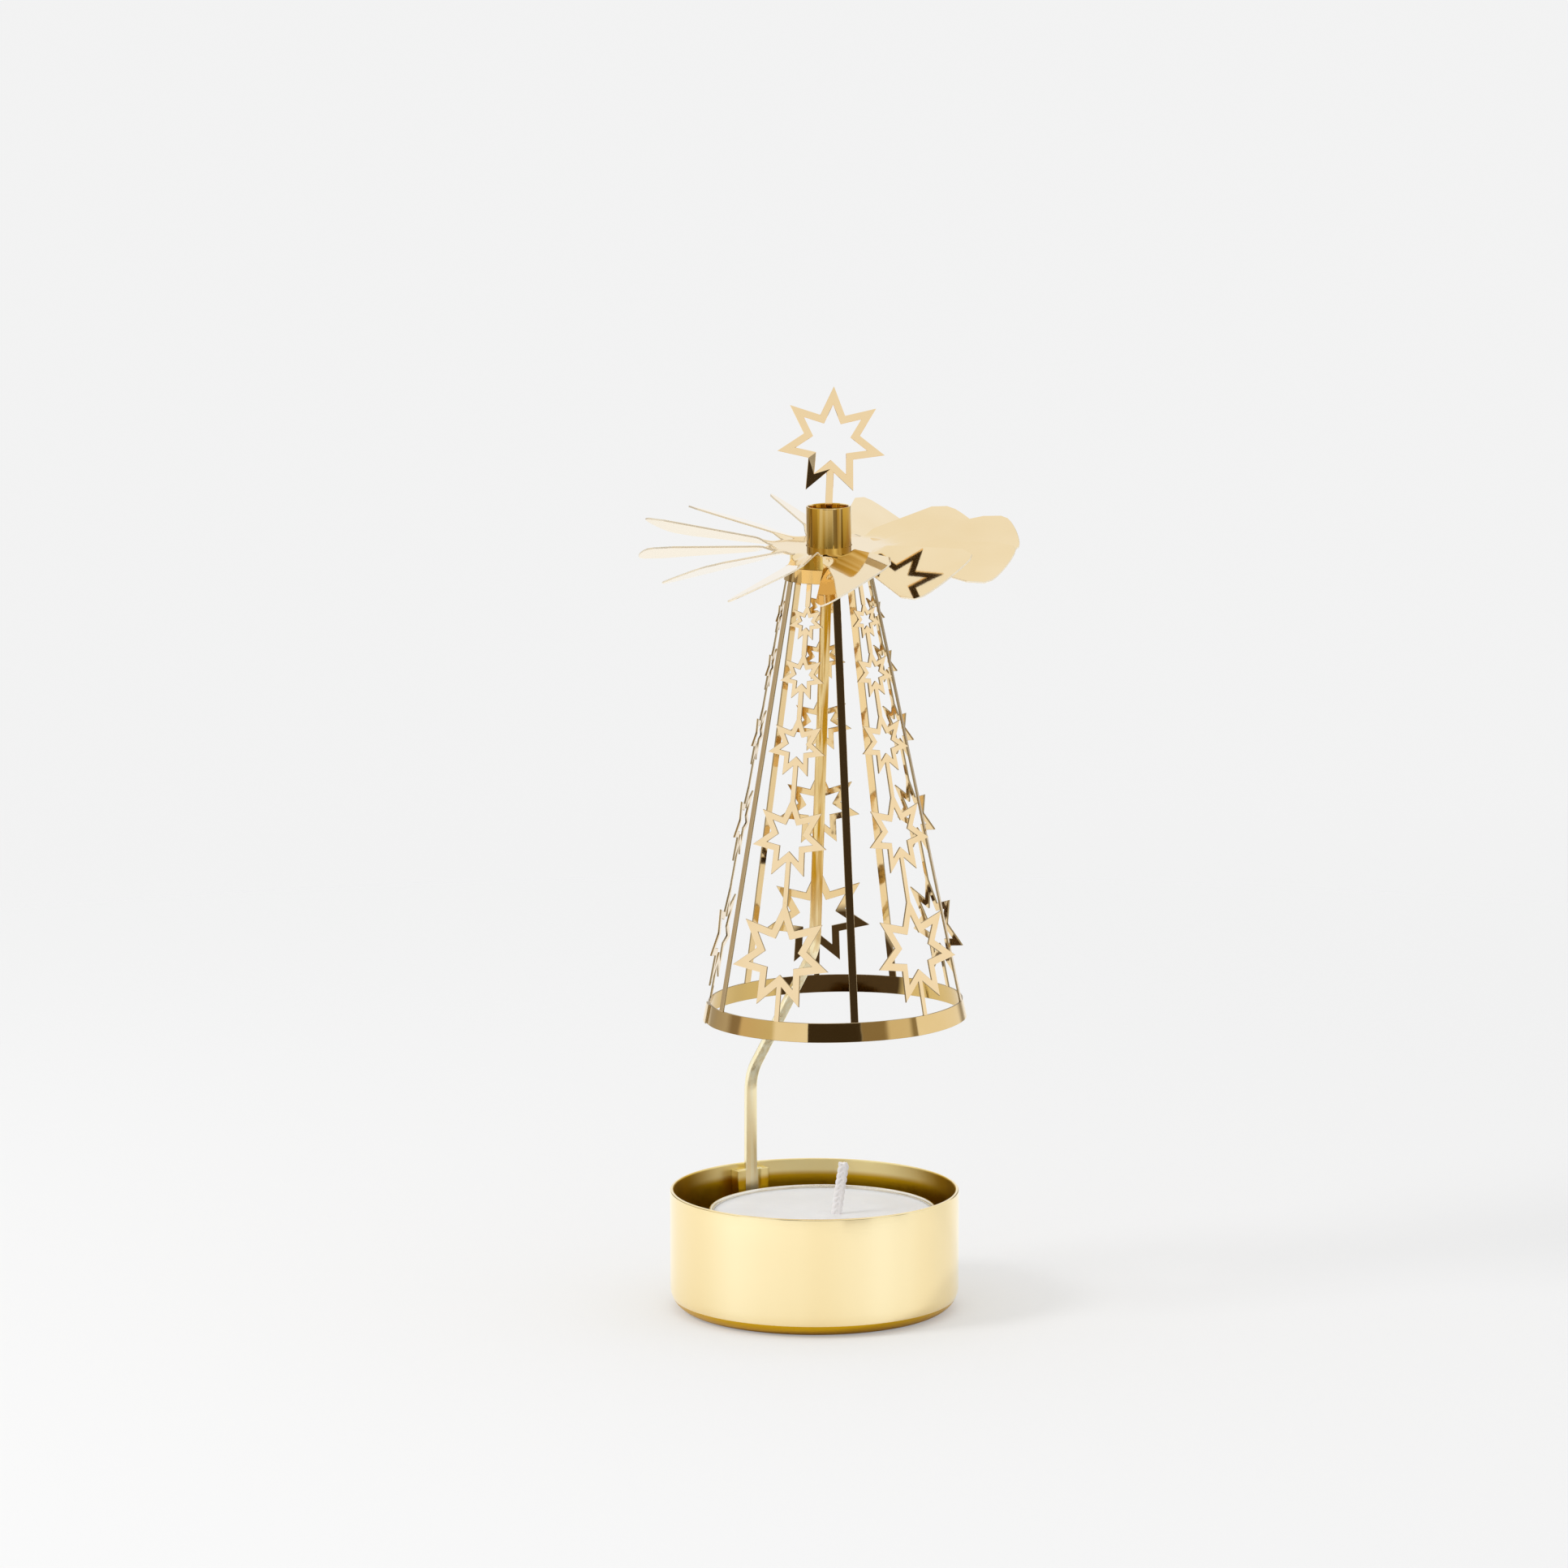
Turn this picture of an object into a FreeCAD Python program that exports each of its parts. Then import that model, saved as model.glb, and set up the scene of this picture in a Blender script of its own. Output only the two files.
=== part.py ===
"""A warm-air carousel: a tealight cup, a bent arm and a star-tree rotor that hangs on the arm's point.

Millimetres, +Z up. The origin is the centre of the cup's underside. The rotor is drawn upright about its
own axis, at its real heights, and is then hung on the point of the arm with its slight lean.
"""
import FreeCAD, Part
import math
import os

V = FreeCAD.Vector
UP = V(0, 0, 1)
ORIGIN = V(0, 0, 0)

# Clearances and the one overrun that all cuts share
overrun = 1.0
slip_clearance = 0.03
stack_clearance = 0.05
point_clearance = 0.05

# An edge counts as square to its sheet when this share of its direction is
square_share = 0.97

# Candle cup, drawn from sheet; the room is what its inside has beyond the tealight's radius
tealight_room = 4.5
cup_height = 20.5
cup_wall = 0.6
cup_corner_radius = 3.85
cup_rim_rounding = 0.25

# Tealight
tealight_radius = 19.35
tealight_offset = 1.45
tealight_wall = 0.25
tealight_height = 16.4
tealight_bead_radius = 0.42
tealight_corner_radius = 1.6
wax_recess = 0.85
wick_width = 2.0
wick_thickness = 1.1
wick_stand = 8.6
wick_lean = 8.5
sustainer_radius = 6.0
sustainer_thickness = 0.3
sustainer_neck_radius = 1.9
sustainer_neck_height = 3.2

# Arm and the clip that holds its foot
arm_angle = 118.7
arm_thickness = 0.9
arm_width = 2.2
arm_top_width = 1.75
foot_width = 4.6
foot_height = 8.6
clip_wall = 0.4
clip_back = 0.75
clip_floor = 0.3
clip_foot_gap = 0.3
clip_side = 0.82
clip_mouth = 3.0
clip_rim_drop = 0.9
leg_top = 36.2
upper_bend_reach = 19.7
upper_bend_height = 61.0
bend_radius = 8.5
needle_length = 7.5

# Pivot, where the rotor hangs on the arm's point
pivot_x = 2.3
pivot_y = 0.0
pivot_height = 135.15
rotor_lean = 0.85

# Skirt cone, cut from thin sheet; its band hangs below the middle of the fan
sheet = 0.3
hem_radius = 22.1
hem_low = 50.05
hem_width = 3.15
band_radius = 6.95
band_drop = 3.15
band_width = 2.3
seam_length = 3.2
seam_angle = -178.0
column_count = 5
bar_angle = -81.7
bar_width = 1.3

# Stars of the skirt, the lowest one first: its place and step share the string's length, its radius its step
star_points = 7
star_valley_share = 0.52
star_count = 5
star_rise_share = 0.1499
star_step_share = 0.271
star_radius_share = 0.4646
lowest_star_frame = 1.25
star_shrink_share = 0.769
frame_shrink_share = 0.84
link_width = 0.9

# Hub: sleeve, bearing and the collar that carries the skirt; rises are above the pivot
hub_radius = 3.75
hub_wall = 0.4
hub_rise = 1.95
flare_width = 1.05
bearing_rise = 1.15
bearing_length = 2.1
dimple_radius = 1.05
collar_wall = 0.35
collar_reach = 2.0

# Fan wheel; its middle hangs below the pivot
fan_radius = 31.9
fan_drop = 4.8
fan_hub_radius = 9.5
fan_neck_length = 2.5
vane_count = 12
vane_gap = 0.25
vane_corner_radius = 3.5
vane_cut_angle = 23.0
vane_pitch_angles = (22.0, 31.0, 34.0, 18.0, 20.0, 17.0, 20.0, 26.0, 30.0, 27.0, 17.0, 15.0)
vane_rise_angles = (-1.0, -2.0, 0.0, 4.0, 5.0, 0.0, -3.0, -4.0, -3.0, -3.0, -4.0, 2.5)
fan_tilt_angle = 2.0
fan_bore_clearance = 0.08

# Finial star; the gap is from the sleeve's top to its lowest points
finial_radius = 9.2
finial_frame = 1.2
finial_gap = 2.66
finial_lean = 3.3
stem_width = 1.2
stem_seat = 0.6

cup_inner_radius = tealight_radius + tealight_room
cup_radius = cup_inner_radius + cup_wall
foot_radius = cup_inner_radius - clip_back - slip_clearance - arm_thickness / 2
arm_turn = math.radians(arm_angle)
foot_point = V(foot_radius * math.cos(arm_turn), foot_radius * math.sin(arm_turn), 0)
pivot = V(pivot_x, pivot_y, pivot_height)
hub_high = pivot_height + hub_rise
flare_radius = hub_radius + flare_width
bearing_high = pivot_height + bearing_rise
bearing_low = bearing_high - bearing_length
fan_height = pivot_height - fan_drop
fan_neck_radius = fan_hub_radius + fan_neck_length
band_high = fan_height - band_drop
band_low = band_high - band_width
hem_high = hem_low + hem_width
cone_slope = (hem_radius - band_radius) / (band_high - hem_low)
cone_angle = math.degrees(math.atan(cone_slope))
star_valley_half = math.pi / star_points
string_length = (band_low - hem_high) / math.cos(math.radians(cone_angle))
lowest_star_rise = string_length * star_rise_share
lowest_star_step = string_length * star_step_share
lowest_star_radius = lowest_star_step * star_radius_share
finial_height = hub_high + finial_gap + finial_radius * math.cos(star_valley_half)


def cone_radius(height):
    """The skirt's outer radius at a height."""
    return band_radius + cone_slope * (band_high - height)


def prism(points, depth):
    """A flat outline in the XY plane, extruded along +Z."""
    return Part.Face(Part.makePolygon(points + [points[0]])).extrude(V(0, 0, depth))


def ring(outer_radius, inner_radius, low, high):
    """A plain tube standing on the Z axis."""
    height = high - low
    tube = Part.makeCylinder(outer_radius, height, V(0, 0, low))
    bore = Part.makeCylinder(inner_radius, height + 2 * overrun, V(0, 0, low - overrun))
    return tube.cut(bore)


def turned(shape, angle):
    """A copy turned about the Z axis."""
    copy = shape.copy()
    copy.rotate(ORIGIN, UP, angle)
    return copy


def hung(shape):
    """Moves a piece drawn about the rotor's upright axis to its place on the point of the arm."""
    copy = shape.copy()
    copy.translate(V(0, 0, -pivot_height))
    copy.rotate(ORIGIN, V(0, 1, 0), -rotor_lean)
    copy.translate(pivot)
    return copy


def revolved(edges):
    """A closed profile in the XZ plane, revolved about Z."""
    face = Part.Face(Part.Wire(edges))
    return face.revolve(ORIGIN, UP, 360)


def line(start, end):
    """A straight edge."""
    return Part.LineSegment(start, end).toShape()


def arc(centre, radius, start, end):
    """An arc in the XZ plane about a centre, between two angles in degrees."""
    spots = []
    for angle in (start, (start + end) / 2, end):
        turn = math.radians(angle)
        spots.append(centre + V(radius * math.cos(turn), 0, radius * math.sin(turn)))
    return Part.Arc(spots[0], spots[1], spots[2]).toShape()


def drawn_cup(radius, height, wall, corner, low):
    """A thin cup with a rounded bottom corner, standing on the height low."""
    inner = radius - wall
    centre = V(radius - corner, 0, low + corner)
    edges = [
        line(V(0, 0, low), V(radius - corner, 0, low)),
        arc(centre, corner, -90, 0),
        line(V(radius, 0, low + corner), V(radius, 0, low + height)),
        line(V(radius, 0, low + height), V(inner, 0, low + height)),
        line(V(inner, 0, low + height), V(inner, 0, low + corner)),
        arc(centre, corner - wall, 0, -90),
        line(V(radius - corner, 0, low + wall), V(0, 0, low + wall)),
        line(V(0, 0, low + wall), V(0, 0, low)),
    ]
    return revolved(edges)


def rim_edges(shape, height):
    """The circular edges that lie at one height."""
    found = []
    for edge in shape.Edges:
        box = edge.BoundBox
        if abs(box.ZMin - height) < slip_clearance and abs(box.ZMax - height) < slip_clearance:
            found.append(edge)
    return found


def make_candle_cup():
    """The cup, with a softly rounded rim."""
    cup = drawn_cup(cup_radius, cup_height, cup_wall, cup_corner_radius, 0)
    return cup.makeFillet(cup_rim_rounding, rim_edges(cup, cup_height))


tealight_low = cup_wall + slip_clearance
tealight_inner_radius = tealight_radius - tealight_wall
tealight_high = tealight_low + tealight_height
wax_low = tealight_low + tealight_wall
wax_high = tealight_high - wax_recess


def at_tealight(shape):
    """Moves a piece drawn on the Z axis to the tealight's place in the cup."""
    copy = shape.copy()
    copy.translate(V(tealight_offset, 0, 0))
    return copy


def make_tealight_case():
    """The thin case, its rim rolled outwards into a bead."""
    bead_height = tealight_high - tealight_bead_radius
    shell_radius = tealight_radius - tealight_bead_radius
    shell_height = tealight_height - tealight_bead_radius
    case = drawn_cup(shell_radius, shell_height, tealight_wall, tealight_corner_radius, tealight_low)
    bead = Part.makeTorus(shell_radius, tealight_bead_radius, V(0, 0, bead_height))
    return at_tealight(case.fuse(bead).removeSplitter())


def wick_bar():
    """The leaning flat wick, from the foot of the case to above the wax."""
    length = wax_high + wick_stand - wax_low
    bar = Part.makeBox(wick_width, wick_thickness, length, V(-wick_width / 2, -wick_thickness / 2, 0))
    bar.rotate(ORIGIN, V(0, 1, 0), wick_lean)
    bar.translate(V(0, 0, wax_low + sustainer_thickness))
    return bar


def make_wick_sustainer():
    """The pressed disc and neck that hold the wick's foot."""
    disc = Part.makeCylinder(sustainer_radius, sustainer_thickness, V(0, 0, wax_low))
    neck_low = wax_low + sustainer_thickness / 2
    neck = Part.makeCylinder(sustainer_neck_radius, sustainer_neck_height, V(0, 0, neck_low))
    return at_tealight(disc.fuse(neck).removeSplitter().cut(wick_bar()))


def make_tealight_wax():
    """The wax, cast round the wick and its sustainer."""
    inner = tealight_inner_radius - tealight_bead_radius
    corner = tealight_corner_radius - tealight_wall
    blank = Part.makeCylinder(inner, wax_high - wax_low, V(0, 0, wax_low))
    blank = blank.makeFillet(corner, rim_edges(blank, wax_low))
    disc = Part.makeCylinder(sustainer_radius, sustainer_thickness + overrun, V(0, 0, wax_low - overrun))
    neck = Part.makeCylinder(sustainer_neck_radius, sustainer_neck_height + overrun,
                             V(0, 0, wax_low + sustainer_thickness / 2 - overrun))
    return at_tealight(blank.cut(disc).cut(neck).cut(wick_bar()))


def make_tealight_wick():
    """The braided wick as a flat bar."""
    return at_tealight(wick_bar())


arm_heading = math.degrees(math.atan2(pivot.y - foot_point.y, pivot.x - foot_point.x))


def at_foot(shape):
    """Places a piece drawn about the Z axis at the foot of the arm, its +X towards the pivot."""
    copy = turned(shape, arm_heading)
    copy.translate(foot_point)
    return copy


clip_height = foot_height + clip_foot_gap + clip_floor
clip_width = foot_width + 2 * slip_clearance + 2 * clip_side
clip_high = cup_height - clip_rim_drop
clip_low = clip_high - clip_height
foot_high = clip_high
foot_low = foot_high - foot_height


def make_arm_socket():
    """The folded clip on the cup's wall: a back, a floor and two lips round the foot of the arm."""
    pocket_width = foot_width + 2 * slip_clearance
    pocket_depth = arm_thickness + 2 * slip_clearance
    floor_height = clip_low + clip_floor
    back = -pocket_depth / 2 - clip_back - overrun
    lip = pocket_depth / 2 + clip_wall
    block = at_foot(Part.makeBox(lip - back, clip_width, clip_height, V(back, -clip_width / 2, clip_low)))
    block = block.common(Part.makeCylinder(cup_inner_radius - slip_clearance, clip_height, V(0, 0, clip_low)))
    pocket = Part.makeBox(pocket_depth, pocket_width, clip_height,
                          V(-pocket_depth / 2, -pocket_width / 2, floor_height))
    mouth = Part.makeBox(lip + overrun, clip_mouth, clip_height, V(0, -clip_mouth / 2, floor_height))
    return block.cut(at_foot(pocket)).cut(at_foot(mouth))


def strip_outline(path, thickness):
    """The side view of a bent strip: its centre line widened by half the thickness on each side."""
    near = []
    far = []
    for place, spot in enumerate(path):
        before = path[max(place - 1, 0)]
        after = path[min(place + 1, len(path) - 1)]
        run_in = (spot - before) if place > 0 else (after - spot)
        run_out = (after - spot) if place < len(path) - 1 else (spot - before)
        run_in = V(run_in).normalize()
        run_out = V(run_out).normalize()
        side_in = V(-run_in.y, run_in.x, 0)
        side_out = V(-run_out.y, run_out.x, 0)
        middle = V(side_in + side_out).normalize()
        reach = thickness / 2 / middle.dot(side_in)
        near.append(spot + middle * reach)
        far.append(spot - middle * reach)
    far.reverse()
    return near + far


def arm_path():
    """The arm's centre line in its own plane: x runs from the foot to the pivot, y is the height."""
    reach = V(pivot.x - foot_point.x, pivot.y - foot_point.y, 0).Length
    return [V(0, foot_low, 0), V(0, leg_top, 0), V(upper_bend_reach, upper_bend_height, 0),
            V(reach, pivot_height - point_clearance, 0)]


def bend_edges(solid, corner):
    """The two long edges of one bend in the arm's blank, inner and outer."""
    found = []
    for edge in solid.Edges:
        middle = edge.CenterOfMass
        across = abs(edge.tangentAt(edge.FirstParameter).z) > square_share
        if across and V(middle.x - corner.x, middle.y - corner.y, 0).Length < arm_thickness:
            found.append(edge)
    return found


def bend_side(edge, path, corner):
    """How far an edge lies from the chord of its bend's two runs: least for the inner edge."""
    place = path.index(corner)
    chord_middle = (path[place - 1] + path[place + 1]) / 2
    middle = edge.CenterOfMass
    return V(middle.x - chord_middle.x, middle.y - chord_middle.y, 0).Length


def arm_blank(width):
    """The bent strip at full width, lying in the XY plane and centred on it."""
    path = arm_path()
    blank = prism(strip_outline(path, arm_thickness), width)
    blank.translate(V(0, 0, -width / 2))
    for corner in path[1:3]:
        inner_first = sorted(bend_edges(blank, corner), key=lambda edge: bend_side(edge, path, corner))
        blank = blank.makeFillet(bend_radius - arm_thickness / 2, [inner_first[0]])
        blank = blank.makeFillet(bend_radius + arm_thickness / 2, bend_edges(blank, corner))
    return blank


def arm_width_outline():
    """The front view of the strip: broad foot, a leg that narrows upwards and a point at the top."""
    path = arm_path()
    tip = path[-1].y
    foot_half = foot_width / 2
    half = arm_width / 2
    top_half = arm_top_width / 2
    shoulder = tip - needle_length
    return [V(-foot_half, foot_low, 0), V(foot_half, foot_low, 0), V(foot_half, foot_high, 0),
            V(half, foot_high, 0), V(top_half, shoulder, 0), V(0, tip, 0), V(-top_half, shoulder, 0),
            V(-half, foot_high, 0), V(-foot_half, foot_high, 0)]


def needle_wedge():
    """The space that the arm's top keeps once its two broad faces are ground to the point."""
    path = arm_path()
    tip = path[-1]
    run = V(tip - path[-2]).normalize()
    side = V(-run.y, run.x, 0)
    root = tip - run * needle_length
    half = side * (arm_thickness / 2)
    left = path[0].x - cup_radius
    right = tip.x + cup_radius
    corners = [tip, root + half, V(left, root.y, 0), V(left, foot_low, 0),
               V(right, foot_low, 0), V(right, root.y, 0), root - half]
    wedge = prism(corners, foot_width + 2 * overrun)
    wedge.translate(V(0, 0, -foot_width / 2 - overrun))
    return wedge


def make_support_arm():
    """The arm: side view and front view crossed, then stood up in the plane from foot to pivot."""
    side_view = arm_blank(foot_width)
    front = prism(arm_width_outline(), 2 * cup_radius + 2 * overrun)
    front.rotate(ORIGIN, V(0, 1, 0), 90)
    front.translate(V(-cup_radius / 2, 0, 0))
    arm = side_view.common(front).common(needle_wedge())
    arm.rotate(ORIGIN, V(1, 0, 0), 90)
    return at_foot(arm)


def cone_strip(low, high):
    """A strip of the skirt's cone between two heights, with its short lapped seam."""
    low_radius = cone_radius(low)
    high_radius = cone_radius(high)
    face = Part.Face(Part.makePolygon([
        V(low_radius, 0, low), V(high_radius, 0, high), V(high_radius - sheet, 0, high),
        V(low_radius - sheet, 0, low), V(low_radius, 0, low)]))
    strip = face.revolve(ORIGIN, UP, 360)
    seam_turn = math.degrees(seam_length / low_radius)
    lap = face.copy()
    lap.translate(V(sheet, 0, 0))
    lap = turned(lap.revolve(ORIGIN, UP, seam_turn), seam_angle)
    return strip.fuse(lap).removeSplitter()


def between(shape, low, high):
    """The part of a shape that lies between two heights."""
    size = 2 * (hem_radius + lowest_star_radius)
    slab = Part.makeBox(size, size, high - low, V(-size / 2, -size / 2, low))
    return shape.common(slab)


def on_cone(shape, height):
    """Lays a piece drawn in the XY plane, +Y upwards, on the cone at a height and at angle zero."""
    lean = math.radians(cone_angle)
    place = FreeCAD.Matrix(0, -math.sin(lean), math.cos(lean), cone_radius(height),
                           1, 0, 0, 0,
                           0, math.cos(lean), math.sin(lean), height,
                           0, 0, 0, 1)
    laid = shape.copy()
    laid.translate(V(0, 0, -sheet))
    laid.Placement = FreeCAD.Placement(place).multiply(laid.Placement)
    return laid


def star_outline(radius, valley_radius, centre):
    """The corners of a star with one point up."""
    corners = []
    for place in range(2 * star_points):
        reach = radius if place % 2 == 0 else valley_radius
        angle = math.radians(90 + place * 180 / star_points)
        corners.append(centre + V(reach * math.cos(angle), reach * math.sin(angle), 0))
    return corners


def star_frame(radius, frame, centre):
    """An open star: a flat outline with a frame of even width."""
    valley = radius * star_valley_share
    tip_half = math.atan2(valley * math.sin(star_valley_half), radius - valley * math.cos(star_valley_half))
    inner = radius - frame / math.sin(tip_half)
    inner_valley = valley - frame / math.sin(tip_half + star_valley_half)
    hole = prism(star_outline(inner, inner_valley, centre), sheet + 2 * overrun)
    hole.translate(V(0, 0, -overrun))
    return prism(star_outline(radius, valley, centre), sheet).cut(hole)


def link(low, high):
    """A straight link of a star string, between two places along it."""
    return Part.makeBox(link_width, high - low, sheet, V(-link_width / 2, low, 0))


def make_star_string():
    """One string of stars in its own plane, laid on the cone at angle zero."""
    pieces = []
    low = -overrun
    centre = lowest_star_rise
    radius = lowest_star_radius
    frame = lowest_star_frame
    step = lowest_star_step
    for place in range(star_count):
        pieces.append(star_frame(radius, frame, V(0, centre, 0)))
        pieces.append(link(low, centre - radius * star_valley_share + frame / 2))
        low = centre + radius - frame
        centre += step
        radius *= star_shrink_share
        frame *= frame_shrink_share
        step *= star_shrink_share
    pieces.append(link(low, string_length + overrun))
    string = pieces[0].multiFuse(pieces[1:]).removeSplitter()
    return between(on_cone(string, hem_high), hem_high, band_low)


def make_bar():
    """One plain bar of the skirt, laid on the cone at angle zero."""
    blank = Part.makeBox(bar_width, string_length + 2 * overrun, sheet, V(-bar_width / 2, -overrun, 0))
    return between(on_cone(blank, hem_high), hem_high, band_low)


collar_radius = band_radius - sheet - stack_clearance
collar_high = (fan_height - sheet / 2 / math.cos(math.radians(fan_tilt_angle))
               - collar_radius * math.tan(math.radians(fan_tilt_angle)) - stack_clearance)
flare_high = collar_high - collar_wall - stack_clearance
flare_low = flare_high - hub_wall
hub_inner_radius = hub_radius - hub_wall


def make_hub_cap():
    """The sleeve through the fan, flared below to carry the collar."""
    sleeve = ring(hub_radius, hub_inner_radius, flare_low, hub_high)
    flare = ring(flare_radius, hub_inner_radius, flare_low, flare_high)
    return sleeve.fuse(flare).removeSplitter()


def make_skirt_collar():
    """The drawn collar under the fan, round which the skirt's top band is fixed."""
    wall = ring(collar_radius, collar_radius - collar_wall, band_high - collar_reach, collar_high)
    flange = ring(collar_radius, hub_radius + slip_clearance, collar_high - collar_wall, collar_high)
    return wall.fuse(flange).removeSplitter()


def finial_stem(clearance):
    """The finial's stem, from its seat in the bearing to inside the star's frame."""
    width = stem_width + 2 * clearance
    depth = sheet + 2 * clearance
    seat = bearing_high - stem_seat - clearance
    star_low = finial_height - finial_radius * star_valley_share
    return Part.makeBox(width, depth, star_low + finial_frame / 2 - seat, V(-width / 2, -depth / 2, seat))


def leaned(shape):
    """The finial's lean to one side, about its seat."""
    copy = shape.copy()
    copy.rotate(V(0, 0, bearing_high), V(0, 1, 0), finial_lean)
    return copy


def make_bearing_cup():
    """The plug in the sleeve: a conical dimple below for the arm's point, a slot above for the finial."""
    plug_radius = hub_inner_radius - slip_clearance
    plug = Part.makeCylinder(plug_radius, bearing_high - bearing_low, V(0, 0, bearing_low))
    dimple = Part.makeCone(dimple_radius + overrun, 0, dimple_radius + overrun,
                           V(0, 0, pivot_height - dimple_radius - overrun))
    return plug.cut(dimple).cut(leaned(finial_stem(slip_clearance)))


def make_finial_star():
    """The upright star on its stem."""
    star = star_frame(finial_radius, finial_frame, ORIGIN)
    star.translate(V(0, 0, -sheet / 2))
    star.rotate(ORIGIN, V(1, 0, 0), 90)
    star.translate(V(0, 0, finial_height))
    return leaned(star.fuse(finial_stem(0)).removeSplitter())


vane_root = fan_hub_radius * math.cos(math.pi / vane_count)


def vane_half_width(reach):
    """Half the width of a flat vane at a radius, less its share of the cut."""
    return reach * math.tan(math.pi / vane_count) - vane_gap / 2


def vane_plate():
    """One flat vane along +X, its two outer corners rounded."""
    half_turn = math.pi / vane_count
    tip = V(fan_radius * math.cos(half_turn), fan_radius * math.sin(half_turn) - vane_gap / 2, 0)
    mirror = V(tip.x, -tip.y, 0)
    root = V(fan_neck_radius, vane_half_width(fan_neck_radius), 0)
    edges = [line(V(root.x, -root.y, 0), mirror), Part.Arc(mirror, V(fan_radius, 0, 0), tip).toShape(),
             line(tip, root), line(root, V(root.x, -root.y, 0))]
    plate = Part.Face(Part.Wire(edges)).extrude(V(0, 0, sheet))
    corners = []
    for edge in plate.Edges:
        middle = edge.CenterOfMass
        upright = abs(edge.tangentAt(edge.FirstParameter).z) > square_share
        if upright and middle.x > (fan_neck_radius + fan_radius) / 2:
            corners.append(edge)
    plate = plate.makeFillet(vane_corner_radius, corners)
    plate.translate(V(0, 0, -sheet / 2))
    return plate


def bent(shape, pitch, rise):
    """Turns a vane's piece to its pitch, then lifts it about its root on the hub."""
    shape.rotate(ORIGIN, V(1, 0, 0), pitch)
    shape.rotate(V(vane_root, 0, 0), V(0, 1, 0), -rise)
    return shape


def neck_section(reach, pitch, rise):
    """A cross-section of a vane's neck at a radius, with its pitch and rise."""
    half = vane_half_width(reach)
    corners = [V(reach, -half, -sheet / 2), V(reach, half, -sheet / 2), V(reach, half, sheet / 2),
               V(reach, -half, sheet / 2)]
    return bent(Part.makePolygon(corners + [corners[0]]), pitch, rise)


def make_fan_wheel():
    """The fan: a hub whose corners are the ends of the cuts, and vanes, each twisted at its neck."""
    hub_corners = []
    for place in range(vane_count):
        angle = math.radians(vane_cut_angle + place * 360 / vane_count)
        hub_corners.append(V(fan_hub_radius * math.cos(angle), fan_hub_radius * math.sin(angle), 0))
    hub = prism(hub_corners, sheet)
    hub.translate(V(0, 0, -sheet / 2))
    bore_low = V(0, 0, -sheet / 2 - overrun)
    hub = hub.cut(Part.makeCylinder(hub_radius + fan_bore_clearance, sheet + 2 * overrun, bore_low))
    pieces = []
    plate = vane_plate()
    for place in range(vane_count):
        pitch = vane_pitch_angles[place % len(vane_pitch_angles)]
        rise = vane_rise_angles[place % len(vane_rise_angles)]
        blade = bent(plate.copy(), pitch, rise)
        sections = [neck_section(vane_root, 0, 0), neck_section(fan_neck_radius, pitch, rise)]
        neck = Part.makeLoft(sections, True, True)
        angle = vane_cut_angle + (place + 0.5) * 360 / vane_count
        pieces.append(turned(blade, angle))
        pieces.append(turned(neck, angle))
    wheel = hub.multiFuse(pieces).removeSplitter()
    wheel.rotate(ORIGIN, V(1, 0, 0), fan_tilt_angle)
    wheel.translate(V(0, 0, fan_height))
    return wheel


def save(shape, node):
    """Writes one node and says what it holds."""
    solids = shape.Solids
    volume = sum(solid.Volume for solid in solids)
    print("%-18s solids %d  volume %9.2f  valid %s" % (node, len(solids), volume, shape.isValid()))
    result = solids[0] if len(solids) == 1 else Part.makeCompound(solids)
    result.exportStep("parts/%s.step" % node)


def main():
    """Builds and writes every node."""
    os.makedirs("parts", exist_ok=True)
    save(make_candle_cup(), "candle_cup")
    save(make_arm_socket(), "arm_socket")
    save(make_support_arm(), "support_arm")
    save(make_tealight_case(), "tealight_case")
    save(make_tealight_wax(), "tealight_wax")
    save(make_tealight_wick(), "tealight_wick")
    save(make_wick_sustainer(), "wick_sustainer")
    save(hung(make_hub_cap()), "hub_cap")
    save(hung(make_bearing_cup()), "bearing_cup")
    save(hung(make_skirt_collar()), "skirt_collar")
    save(hung(make_fan_wheel()), "fan_wheel")
    save(hung(cone_strip(band_low, band_high)), "skirt_top_band")
    save(hung(cone_strip(hem_low, hem_high)), "skirt_hem_ring")
    save(hung(make_finial_star()), "finial_star")
    bar = make_bar()
    string = make_star_string()
    step = 360 / column_count
    for place in range(column_count):
        save(hung(turned(bar, bar_angle + place * step)), "skirt_bar_%d" % (place + 1))
        save(hung(turned(string, bar_angle + (place + 0.5) * step)), "star_string_%d" % (place + 1))


main()
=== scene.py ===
"""The looks of a rotary tealight holder: a polished brass cup, a bent arm and a star-tree rotor under a fan.

Sizes are in millimetres, as the makers of such sheet-metal work write them, and become metres in the meshes.
"""
import logging
import math
from dataclasses import dataclass, field
from enum import Enum
from typing import Callable, Optional, Sequence, Union

import bmesh
import bpy
import numpy as np
from mathutils import Matrix, Vector


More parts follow.
